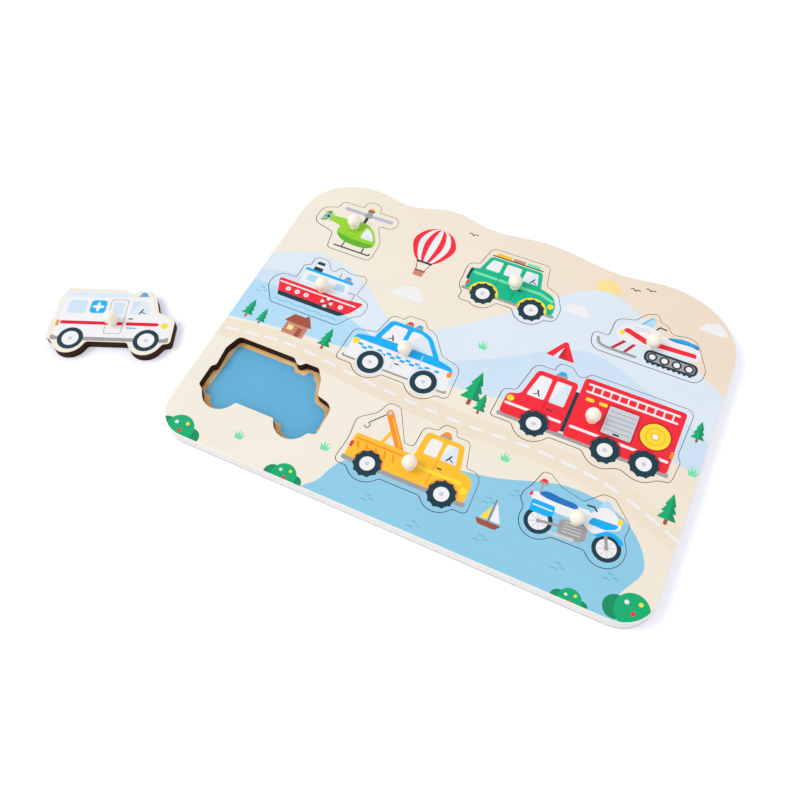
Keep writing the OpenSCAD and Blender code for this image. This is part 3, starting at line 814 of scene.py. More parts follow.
@dataclass(frozen=True)
class Scenery:
    """The landscape printed over the whole board, in millimetres from its corner."""

    far_hills: Loop = (
        (-8, 138), (28, 156), (64, 148), (106, 122), (148, 148), (206, 200), (250, 184), (308, 148),
    )
    near_hills: Loop = (
        (-8, 126), (30, 134), (72, 116), (118, 104), (162, 122), (214, 152), (262, 138), (308, 116),
    )
    plain: Loop = ((-8, 92), (54, 104), (112, 94), (170, 98), (232, 108), (308, 96))
    bay: Loop = ((-14, 88), (-10, 116), (24, 120), (62, 118), (92, 108), (84, 96), (38, 92))
    lake: Loop = (
        (112, -10), (108, 10), (120, 30), (152, 42), (196, 50), (236, 62), (270, 56), (288, 34),
        (280, 12), (288, -10),
    )
    road: Loop = ((-10, 76), (46, 83), (104, 78), (160, 75), (216, 76), (262, 70), (312, 50))
    road_w: float = 14.0
    dash_l: float = 6.5
    dash_gap: float = 6.0
    floor_y: float = -10.0
    firs: tuple[Triple, ...] = (
        (10.5, 90.5, 15.0), (21.0, 89.0, 13.0), (66.5, 88.0, 17.0), (164.5, 88.0, 25.0),
        (172.0, 84.5, 15.0), (290.5, 62.0, 20.0), (292.5, 118.0, 15.0),
    )
    hedges: tuple[Triple, ...] = (
        (17.0, 1.0, 9.0), (88.0, 0.0, 7.5), (289.0, 6.0, 9.5), (258.0, -1.0, 6.5),
    )
    tufts: Loop = ((101.0, 26.0), (52.0, 12.0), (198.0, 62.0), (157.0, 128.0), (296.0, 96.0))
    clouds: tuple[Triple, ...] = ((98.0, 145.0, 5.0), (200.0, 176.0, 4.0), (282.0, 196.0, 4.0))
    gulls: Loop = ((229.0, 209.0), (238.0, 212.5), (117.0, 211.0))
    ripples: Loop = (
        (134.0, 8.0), (200.0, 12.0), (208.0, 44.0), (243.0, 14.0), (196.0, 34.0), (164.0, 4.0),
        (270.0, 20.0), (84.0, 104.0), (6.0, 112.0),
    )

    def below(self, pen: Pen, ink: Ink, crest: Loop) -> None:
        """Lays ink from a smooth crest down past the straight edge."""
        line = smooth(crest, closed=False)
        pen.fill(ink, (*line, (line[-1][0], self.floor_y), (line[0][0], self.floor_y)))

    def draw(self, pen: Pen) -> None:
        """Prints the whole landscape, from the sky down to the near bank."""
        pen.disc(Ink.BUTTER, 213.0, 203.5, 8.0)
        self.below(pen, Ink.SHELL, self.far_hills)
        self.below(pen, Ink.MIST, self.near_hills)
        self.below(pen, Ink.CREAM, self.plain)
        pen.soft(Ink.ICE, self.bay)
        pen.sweep(Ink.SAND, self.road_w, *self.road)
        self.dashes(pen)
        pen.soft(Ink.LAKE, self.lake)
        for x, y in self.ripples:
            self.ripple(pen.at(x, y))
        for x, y, r in self.clouds:
            self.cloud(pen.at(x, y), r)
        self.balloon(pen.at(96.5, 192.0))
        self.cabin(pen.at(37.0, 89.5))
        self.tent(pen.at(203.0, 141.0))
        self.sailing_boat(pen.at(203.5, 22.0))
        for x, y in self.gulls:
            gull = pen.at(x, y)
            gull.sweep(Ink.NAVY, 0.7, (-3.0, 1.2), (-1.4, 1.4), (0.0, 0.0))
            gull.sweep(Ink.NAVY, 0.7, (0.0, 0.0), (1.4, 1.4), (3.0, 1.2))
        for x, y, h in self.firs:
            self.fir(pen.at(x, y), h)
        for x, y, r in self.hedges:
            self.hedge(pen.at(x, y), r)
        for x, y in self.tufts:
            self.tuft(pen.at(x, y))

    def dashes(self, pen: Pen) -> None:
        """Prints the broken line along the middle of the road."""
        path = smooth(self.road, closed=False, steps=24)
        run, start = 0.0, path[0]
        for a, b in zip(path, path[1:]):
            run += math.dist(a, b)
            if run > self.dash_l + self.dash_gap:
                run, start = 0.0, b
            elif run > self.dash_l and start is not None:
                pen.line(Ink.WHITE, 1.8, start, b)
                start = None

    def ripple(self, pen: Pen) -> None:
        """Prints three short waves."""
        for x, y, length in ((0.0, 0.0, 3.4), (4.6, 1.6, 2.8), (1.8, 3.4, 3.0)):
            pen.sweep(Ink.RIPPLE, 0.45, (x, y), (x + length / 2, y + 0.5), (x + length, y))

    def cloud(self, pen: Pen, r: float) -> None:
        """Prints a cloud of three puffs on a flat foot."""
        pen.box(Ink.WHITE, -2.1 * r, 0.0, 4.2 * r, 0.9 * r, 0.4 * r)
        for x, y, size in ((-0.9, 0.9, 0.8), (0.3, 1.2, 1.0), (1.3, 0.8, 0.6)):
            pen.disc(Ink.WHITE, x * r, y * r, size * r)

    def balloon(self, pen: Pen) -> None:
        """Prints a striped balloon with its basket."""
        half = ((0.0, 15.0), (9.0, 12.0), (14.5, 3.0), (12.5, -6.0), (5.4, -15.0))
        for share, ink in ((1.0, Ink.RED), (0.72, Ink.WHITE), (0.44, Ink.RED), (0.17, Ink.WHITE)):
            right = tuple((share * x, y) for x, y in half)
            pen.soft(ink, (*right, *((-x, y) for x, y in reversed(right[1:]))))
        pen.box(Ink.NAVY, -5.4, -16.2, 10.8, 1.6, 0.5)
        for side in (-1, 1):
            pen.line(Ink.NAVY, 0.5, (side * 4.6, -16.0), (side * 2.8, -23.0))
        pen.box(Ink.CLAY, -3.4, -27.5, 6.8, 5.0, 1.0)
        pen.box(Ink.BRICK, -3.8, -23.4, 7.6, 1.3, 0.6)

    def cabin(self, pen: Pen) -> None:
        """Prints a small timber house."""
        pen.box(Ink.CLAY, 0.0, 0.0, 15.0, 9.0)
        for y in (2.2, 4.4, 6.6):
            pen.line(Ink.BRICK, 0.4, (0.0, y), (15.0, y))
        pen.box(Ink.BRICK, 10.2, 11.0, 2.4, 6.0)
        pen.panel(Ink.BRICK, ((-2.0, 9.0), (17.0, 9.0), (13.0, 15.6), (2.0, 15.6)), 0.9)
        pen.box(Ink.BUTTER, 2.2, 3.4, 4.0, 3.6, 0.5)
        pen.box(Ink.BRICK, 9.0, 0.0, 3.4, 6.4, 0.5)

    def tent(self, pen: Pen) -> None:
        """Prints a ridge tent."""
        pen.panel(Ink.RED, ((-9.0, 0.0), (9.0, 0.0), (1.0, 13.0), (-1.0, 13.0)), 1.4)
        pen.panel(Ink.WHITE, ((-4.4, 0.0), (4.4, 0.0), (0.0, 9.0)), 0.8)
        pen.panel(Ink.CRIMSON, ((-1.4, 0.0), (4.4, 0.0), (0.0, 9.0)), 0.5)

    def sailing_boat(self, pen: Pen) -> None:
        """Prints a dinghy under sail."""
        pen.line(Ink.BRICK, 0.7, (0.0, 2.0), (0.0, 16.0))
        pen.panel(Ink.WHITE, ((0.9, 3.4), (6.6, 3.4), (0.9, 15.0)), 0.6)
        pen.panel(Ink.YELLOW, ((-0.9, 3.4), (-5.0, 3.4), (-0.9, 12.4)), 0.6)
        pen.panel(Ink.BRICK, ((-7.4, 2.4), (7.8, 2.4), (5.0, -1.0), (-5.0, -1.0)), 1.0)

    def fir(self, pen: Pen, h: float) -> None:
        """Prints a fir tree of three tiers on a trunk."""
        pen.box(Ink.BRICK, -0.05 * h, 0.0, 0.1 * h, 0.2 * h)
        for share, low in ((0.27, 0.16), (0.22, 0.38), (0.16, 0.6)):
            reach, foot, top = share * h, low * h, min(1.0, low + 0.42) * h
            for ink, right in ((Ink.SPRUCE, reach), (Ink.LAWN, 0.2 * reach)):
                pen.panel(ink, ((-reach, foot), (right, foot), (0.0, top)), 0.04 * h)

    def hedge(self, pen: Pen, r: float) -> None:
        """Prints a rounded bush with small flowers."""
        for ink, x, y, size in (
            (Ink.SPRUCE, -0.9, 0.2, 0.7), (Ink.SPRUCE, 1.0, 0.1, 0.6), (Ink.LAWN, 0.0, 0.35, 1.0),
            (Ink.WHITE, -0.4, 0.7, 0.13), (Ink.YELLOW, 0.35, 0.85, 0.13), (Ink.RED, 0.1, 0.2, 0.13),
        ):
            pen.disc(ink, x * r, y * r, size * r)

    def tuft(self, pen: Pen) -> None:
        """Prints a tuft of grass blades."""
        for lean, h in ((-3.4, 4.6), (-1.2, 7.0), (1.4, 6.2), (3.6, 4.2)):
            pen.panel(Ink.MINT, ((0.2 * lean - 1.3, 0.0), (0.2 * lean + 1.3, 0.0), (lean, h)), 0.5)


PICTURES = (
    Helicopter(), Boat(), OffRoader(), Snowmobile(), PatrolCar(), FireEngine(), TowTruck(),
    Motorcycle(), Van(),
)


def operator(operation: str, swapped: bool = False) -> Callable:
    """Makes an arithmetic operator for wires.

    Args:
        operation: What the Math node does.
        swapped: Whether the wire is the second of the two values.

    Returns:
        The operator, which adds a Math node to the wire's tree.
    """

    def apply(wire: "Wire", other: Number) -> "Wire":
        """Adds the node."""
        values = (other, wire) if swapped else (wire, other)
        return wire.tree.math(operation, *values)

    return apply


class Wire:
    """A socket of a node tree that takes part in Python arithmetic."""

    def __init__(self, tree: "Tree", socket: Socket) -> None:
        """Holds the socket and the tree that it belongs to."""
        self.tree = tree
        self.socket = socket

    __add__ = __radd__ = operator("ADD")
    __sub__ = operator("SUBTRACT")
    __rsub__ = operator("SUBTRACT", swapped=True)
    __mul__ = __rmul__ = operator("MULTIPLY")
    __truediv__ = operator("DIVIDE")
    __pow__ = operator("POWER")
    __lt__ = operator("LESS_THAN")
    __gt__ = operator("GREATER_THAN")

    def over(self, level: float, gain: float) -> "Wire":
        """How far the value lies over a level, times a gain."""
        return (self - level) * gain

    def swing(self, reach: float) -> "Wire":
        """Turns noise between nought and one into a swing about nought."""
        return self.over(0.5, reach)

    def to_seam(self) -> "Wire":
        """Turns a count of plies into nought in the middle of each and a half at its glue."""
        return self.tree.math("ABSOLUTE", self.tree.math("FRACT", self) - 0.5)


class Tree:
    """A node tree under construction."""

    def __init__(self, tree: bpy.types.NodeTree) -> None:
        """Holds the tree, emptied of its default nodes."""
        self.tree = tree
        tree.nodes.clear()

    def node(self, kind: str, inputs: dict | None = None, **settings: object) -> bpy.types.Node:
        """Adds a node.

        Args:
            kind: The node's type.
            inputs: Values, wires or sockets for its inputs, by name or number.
            settings: The node's own settings.

        Returns:
            The new node.
        """
        node = self.tree.nodes.new(kind)
        for name, value in settings.items():
            setattr(node, name, value)
        for key, value in (inputs or {}).items():
            self.plug(node.inputs[key], value)
        return node

    def plug(self, socket: Socket, value: object) -> None:
        """Links a wire or socket to an input, or sets the input's own value."""
        if isinstance(value, Wire):
            value = value.socket
        if isinstance(value, Socket):
            self.tree.links.new(value, socket)
        else:
            socket.default_value = value

    def math(self, operation: str, *values: Number) -> Wire:
        """Adds a Math node on values or wires."""
        node = self.node("ShaderNodeMath", dict(enumerate(values)), operation=operation)
        return Wire(self, node.outputs[0])

    def vector(self, operation: str, *values: object, output: int | str = 0) -> Socket:
        """Adds a Vector Math node."""
        inputs = dict(enumerate(values))
        return self.node("ShaderNodeVectorMath", inputs, operation=operation).outputs[output]

    def parts(self, vector: Socket) -> tuple[Wire, Wire, Wire]:
        """Splits a vector into its three numbers."""
        node = self.node("ShaderNodeSeparateXYZ", {0: vector})
        return tuple(Wire(self, output) for output in node.outputs)

    def joined(self, x: Number, y: Number, z: Number) -> Socket:
        """Joins three numbers into a vector."""
        return self.node("ShaderNodeCombineXYZ", {0: x, 1: y, 2: z}).outputs[0]


class Finish(Tree):
    """A material under construction."""

    def __init__(self, name: str) -> None:
        """Starts an empty material."""
        self.material = bpy.data.materials.new(name)
        self.material.use_nodes = True
        super().__init__(self.material.node_tree)

    def attribute(self, name: str, output: str) -> Socket:
        """A number or colour that the mesh carries."""
        node = self.node("ShaderNodeAttribute", attribute_type="GEOMETRY", attribute_name=name)
        return node.outputs[output]

    def place(self, scale: Triple = (1.0, 1.0, 1.0), turn: float = 0.0) -> Socket:
        """The place on the object, turned about Z and stretched.

        Args:
            scale: Factors along the three axes.
            turn: The angle of the grain from +X, in degrees.

        Returns:
            A vector socket.
        """
        coordinates = self.node("ShaderNodeTexCoord").outputs["Object"]
        inputs = {"Vector": coordinates, "Rotation": (0.0, 0.0, math.radians(-turn))}
        return self.vector("MULTIPLY", self.node("ShaderNodeMapping", inputs).outputs[0], scale)

    def noise(self, place: Socket, scale: float, detail: float) -> Wire:
        """Cloudy noise between nought and one."""
        inputs = {"Vector": place, "Scale": scale, "Detail": detail}
        return Wire(self, self.node("ShaderNodeTexNoise", inputs).outputs[0])

    def blend(self, share: Number, a: object, b: object) -> Socket:
        """Mixes two colours."""
        inputs = {0: share, 6: a, 7: b}
        return self.node("ShaderNodeMix", inputs, data_type="RGBA", clamp_factor=True).outputs[2]

    def bright(self, colour: object, factor: Number) -> Socket:
        """Scales a colour by a number."""
        return self.vector("MULTIPLY", colour, self.joined(factor, factor, factor))

    def bump(self, height: Wire, depth: float) -> Socket:
        """A normal from a height between nought and one, for relief of some depth."""
        inputs = {"Height": height, "Strength": 1.0, "Distance": depth}
        return self.node("ShaderNodeBump", inputs).outputs[0]

    def surface(self, **inputs: object) -> Material:
        """Ends the material in a surface shader.

        Args:
            inputs: Values or wires of the shader, with underscores for spaces.

        Returns:
            The finished material.
        """
        named = {name.replace("_", " "): value for name, value in inputs.items()}
        shader = self.node("ShaderNodeBsdfPrincipled", named)
        self.node("ShaderNodeOutputMaterial", {"Surface": shader.outputs[0]})
        return self.material


@dataclass(frozen=True)
class PrintFinish:
    """Satin varnish over ink on fine veneer; the sand ink warms to the upper right."""

    turn: float = 0.0
    board: Pair = (0.3, 0.226)
    likeness: float = 0.13
    warmth: Triple = (0.985, 0.87, 0.8)
    warm_from: float = 0.2
    warm_over: float = 0.7
    warm_power: float = 1.7
    grain: Triple = (26.0, 900.0, 40.0)
    mottle_scale: float = 34.0
    speck_scale: float = 2600.0
    cover: float = 0.985
    fibre_shade: float = 0.05
    mottle_shade: float = 0.07
    speck_shade: float = 0.03
    roughness: float = 0.46
    fibre_sheen: float = 0.06
    mottle_sheen: float = 0.16
    gloss: float = 0.22
    speck_height: float = 0.5
    depth: float = 0.00002

    def build(self, name: str) -> Material:
        """Makes the material."""
        finish = Finish(name)
        ink = finish.attribute(INK_LAYER, "Color")
        ink = finish.blend(self.warmed(finish, ink), ink, finish.vector("MULTIPLY", ink, self.warmth))
        fibres = finish.noise(finish.place(self.grain, self.turn), 1.0, 4.0)
        mottle = finish.noise(finish.place(), self.mottle_scale, 5.0)
        speck = finish.noise(finish.place(), self.speck_scale, 1.0)
        cover = self.cover + fibres.swing(self.fibre_shade) + mottle.swing(self.mottle_shade)
        sheen = self.roughness + mottle.swing(self.mottle_sheen) + fibres.swing(self.fibre_sheen)
        return finish.surface(
            Base_Color=finish.bright(ink, cover + speck.swing(self.speck_shade)),
            Roughness=sheen,
            Specular_IOR_Level=self.gloss,
            Normal=finish.bump(fibres + speck * self.speck_height, self.depth),
        )

    def warmed(self, finish: Finish, ink: Socket) -> Wire:
        """The share of warm tone in the sand ink, growing towards the upper right."""
        away = finish.vector("DISTANCE", ink, tint(Ink.CREAM.value)[:3], output="Value")
        across, up = self.board
        x, y, _ = finish.parts(finish.place((0.5 / across, 0.5 / up, 1.0)))
        rise = finish.math("MAXIMUM", x + y + (0.5 - self.warm_from), 0.0) / self.warm_over
        return (Wire(finish, away) < self.likeness) * rise**self.warm_power


@dataclass(frozen=True)
class CutFinish:
    """A wall burnt by the cutting beam, with leaning streaks and the plies as bands."""

    char: str = "#1C0A09"
    scorch: str = "#7A5036"
    glue_line: str = "#0C0404"
    ply: float = 1.2
    ply_waver: float = 0.2
    glued_from: float = 0.43
    glued: float = 0.35
    pitch: float = 1.5
    lean: float = -0.7
    drift: float = 0.5
    drift_scales: Triple = (0.35, 0.1, 0.0)
    fine_scales: Triple = (3.0, 0.3, 5.0)
    cloud_stretch: Triple = (1.0, 1.0, 2.5)
    cloud_scale: float = 160.0
    streaks: Pair = (0.3, 0.9)
    fine_burn: float = 1.1
    cloud_burn: float = 0.5
    cross_burn: float = 0.08
    relief: float = 0.3
    roughness: float = 0.82
    cloud_sheen: float = 0.2
    gloss: float = 0.12
    depth: float = 0.00006

    def build(self, name: str) -> Material:
        """Makes the material."""
        finish = Finish(name)
        run = Wire(finish, finish.attribute(RUN_LAYER, "Fac"))
        z = finish.parts(finish.place((1.0, 1.0, 1.0 / MM)))[2]
        cloud = finish.noise(finish.place(self.cloud_stretch), self.cloud_scale, 4.0)
        drift = self.streaky(finish, run, z, self.drift_scales)
        leaning = run + z * self.lean
        wave = finish.math("SINE", (leaning / self.pitch + drift * self.drift) * math.tau)
        fine = self.streaky(finish, leaning, z, self.fine_scales)
        layers = z / self.ply + cloud.swing(self.ply_waver)
        seam = layers.to_seam() > self.glued_from
        crossed = finish.math("FRACT", layers * 0.5) > 0.5
        burn = wave.over(*self.streaks) + fine.swing(self.fine_burn) + cloud.swing(self.cloud_burn)
        burn += crossed * self.cross_burn
        colour = finish.blend(burn, tint(self.char), tint(self.scorch))
        colour = finish.blend(seam * self.glued, colour, tint(self.glue_line))
        return finish.surface(
            Base_Color=colour,
            Roughness=self.roughness + cloud.swing(self.cloud_sheen),
            Specular_IOR_Level=self.gloss,
            Normal=finish.bump(wave * self.relief + fine + crossed * self.relief, self.depth),
        )

    def streaky(self, finish: Finish, along: Wire, up: Wire, scales: Triple) -> Wire:
        """Noise on the unrolled wall, scaled along it and up it, at some depth in the pattern."""
        return finish.noise(finish.joined(along * scales[0], up * scales[1], scales[2]), 1.0, 2.0)


@dataclass(frozen=True)
class BareWoodFinish:
    """Sanded plywood without ink."""

    early: str = "#FFD798"
    late: str = "#EBA95C"
    pore: str = "#B97E40"
    turn: float = 0.0
    grain: Triple = (9.0, 150.0, 60.0)
    pores: Triple = (90.0, 2600.0, 300.0)
    warp_scale: float = 14.0
    warp: float = 5.0
    ring_tone: Pair = (0.36, 3.2)
    pore_tone: Pair = (0.6, 2.2)
    mottle_scale: float = 60.0
    mottle_shade: float = 0.2
    brightness: float = 0.99
    roughness: float = 0.62
    fibre_sheen: float = 0.25
    depth: float = 0.00005

    def build(self, name: str) -> Material:
        """Makes the material."""
        finish = Finish(name)
        warp = finish.noise(finish.place(), self.warp_scale, 2.0)
        x, y, z = finish.parts(finish.place(self.grain, self.turn))
        rings = finish.noise(finish.joined(x, y + warp * self.warp, z), 1.0, 5.0)
        fibres = finish.noise(finish.place(self.pores, self.turn), 1.0, 3.0)
        colour = finish.blend(rings.over(*self.ring_tone), tint(self.early), tint(self.late))
        colour = finish.blend(fibres.over(*self.pore_tone), colour, tint(self.pore))
        mottle = finish.noise(finish.place(), self.mottle_scale, 4.0)
        return finish.surface(
            Base_Color=finish.bright(colour, self.brightness + mottle.swing(self.mottle_shade)),
            Roughness=self.roughness + fibres.swing(self.fibre_sheen),
            Normal=finish.bump(fibres + rings, self.depth),
        )


@dataclass(frozen=True)
class EdgeFinish:
    """Off-white paint on the board's outer edge, thin enough for the plies to show, with a painted
    contact shadow along its foot.
    """

    paint: str = "#F7F4F3"
    thin: str = "#E6DCD5"
    rubbed: str = "#F7F2EB"
    # The grey-brown colour of the painted contact shadow along the foot of the edge.
    dirt: str = "#8E827E"
    ply: float = 0.0015
    ply_waver: float = 0.2
    seams: Pair = (0.38, 8.0)
    faintness: float = 0.5
    thinning: Pair = (0.55, 0.5)
    rub_from: float = 0.0086
    rub: Pair = (0.4, 0.7)
    # How high the painted contact shadow reaches, in metres, then its least share and its extra share
    # with the fine noise.
    dirt_to: float = 0.0006
    grime: Pair = (0.55, 0.6)
    cloud_stretch: Triple = (1.0, 1.0, 4.0)
    cloud_scale: float = 90.0
    fine_stretch: Triple = (1.0, 1.0, 6.0)
    fine_scale: float = 900.0
    roughness: float = 0.5
    cloud_sheen: float = 0.2
    depth: float = 0.00005

    def build(self, name: str) -> Material:
        """Makes the material."""
        finish = Finish(name)
        z = finish.parts(finish.place())[2]
        cloud = finish.noise(finish.place(self.cloud_stretch), self.cloud_scale, 4.0)
        fine = finish.noise(finish.place(self.fine_stretch), self.fine_scale, 2.0)
        layers = z / self.ply + cloud.swing(self.ply_waver)
        seam = finish.math("MAXIMUM", layers.to_seam().over(*self.seams), 0.0) * cloud
        seam *= self.faintness
        colour = finish.blend(seam + fine.over(*self.thinning), tint(self.paint), tint(self.thin))
        # The top arris is rubbed through the paint, and the lowest 0.6 mm gets the painted contact
        # shadow.
        for where, (least, more), ink in (
            (z > self.rub_from, self.rub, self.rubbed), (z < self.dirt_to, self.grime, self.dirt),
        ):
            colour = finish.blend(where * (least + fine * more), colour, tint(ink))
        return finish.surface(
            Base_Color=colour,
            Roughness=self.roughness + cloud.swing(self.cloud_sheen),
            Normal=finish.bump(fine - seam, self.depth),
        )


@dataclass(frozen=True)
class KnobFinish:
    """Clear lacquer on pale turned wood."""

    pale: str = "#FFF8EA"
    ring: str = "#FAEEDB"
    fibre: str = "#F0DFC3"
    warp_scale: float = 150.0
    warp: float = 2.0
    ring_scales: Triple = (420.0, 420.0, 30.0)
    ring_tone: Pair = (0.42, 2.6)
    fibre_scales: Triple = (3000.0, 3000.0, 260.0)
    fibre_tone: Pair = (0.62, 1.6)
    roughness: float = 0.34
    fibre_sheen: float = 0.16
    coat: float = 0.35
    coat_roughness: float = 0.16
    depth: float = 0.00002

    def build(self, name: str) -> Material:
        """Makes the material."""
        finish = Finish(name)
        warp = finish.noise(finish.place(), self.warp_scale, 2.0)
        x, y, z = finish.parts(finish.place(self.ring_scales))
        rings = finish.noise(finish.joined(x + warp * self.warp, y, z), 1.0, 3.0)
        fibres = finish.noise(finish.place(self.fibre_scales), 1.0, 2.0)
        colour = finish.blend(rings.over(*self.ring_tone), tint(self.pale), tint(self.ring))
        colour = finish.blend(fibres.over(*self.fibre_tone), colour, tint(self.fibre))
        return finish.surface(
            Base_Color=colour,
            Roughness=self.roughness + fibres.swing(self.fibre_sheen),
            Coat_Weight=self.coat,
            Coat_Roughness=self.coat_roughness,
            Normal=finish.bump(fibres + rings, self.depth),
        )


class Slot(Enum):
    """The finishes of a sheet, in the order of its material slots."""

    PRINT = 0
    CUT = 1
    WOOD = 2
    EDGE = 3


@dataclass(frozen=True)
class Cut:
    """A closed cut line, with the solid on its left, and the wall below it."""

    line: Loop
    arris: float = 0.06
    slot: Slot = Slot.CUT
    depth: float | None = None


def offset(line: Loop, distance: float) -> Loop:
    """Moves a closed line to its right.

    Args:
        line: The line, with the solid on its left.
        distance: How far each side moves out of the solid.

    Returns:
        The moved line, point for point.
    """
    moved = []
    for i, (x, y) in enumerate(line):
        normals = []
        for (ax, ay), (bx, by) in ((line[i - 1], (x, y)), ((x, y), line[(i + 1) % len(line)])):
            length = math.hypot(bx - ax, by - ay)
            normals.append(((by - ay) / length, (ax - bx) / length))
        (px, py), (qx, qy) = normals
        reach = distance / max(SHARPEST, 1 + px * qx + py * qy)
        moved.append((x + (px + qx) * reach, y + (py + qy) * reach))
    return tuple(moved)


def box_of(line: Loop) -> tuple[Point, Point]:
    """The lowest and highest corners of a line."""
    xs, ys = zip(*line)
    return (min(xs), min(ys)), (max(xs), max(ys))


def middle_of(line: Loop) -> Point:
    """The middle of a line's box."""
    (ax, ay), (bx, by) = box_of(line)
    return (ax + bx) / 2, (ay + by) / 2


def same_box(a: Loop, b: Loop) -> float:
    """How far the boxes of two lines differ."""
    return sum(math.dist(p, q) for p, q in zip(box_of(a), box_of(b)))


def cut_lines(node: str, place: Matrix) -> list[Loop]:
    """Reads the closed lines round the upper face of a node.

    Args:
        node: The node's name.
        place: The matrix from millimetres on the printed face to the part's frame.

    Returns:
        The lines on the printed face, the longest first, each with the solid on its left.
    """
    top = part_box(node)[1][2]
    back = place.inverted()
    mesh = bmesh.new()
    mesh.from_mesh(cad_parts[node].data)
    bmesh.ops.remove_doubles(mesh, verts=mesh.verts, dist=NEAR)
    upper = dict.fromkeys(f for f in mesh.faces if all(abs(v.co.z - top) < NEAR for v in f.verts))
    follow = {}
    for face in upper:
        for corner in face.loops:
            if sum(f in upper for f in corner.edge.link_faces) == 1:
                follow[corner.vert] = corner.link_loop_next.vert
    lines = [tuple(tuple((back @ v.co).xy) for v in line) for line in chains(follow)]
    mesh.free()
    return sorted(lines, key=lambda line: -math.dist(*box_of(line)))


def chains(follow: dict) -> list[list]:
    """Joins directed edges into closed chains.

    Args:
        follow: The end of each edge by its start.

    Returns:
        The starts of each chain's edges, in order.
    """
    follow = dict(follow)
    found = []
    while follow:
        start, here = follow.popitem()
        chain = [start]
        while here != start:
            chain.append(here)
            here = follow.pop(here)
        found.append(chain)
    return found


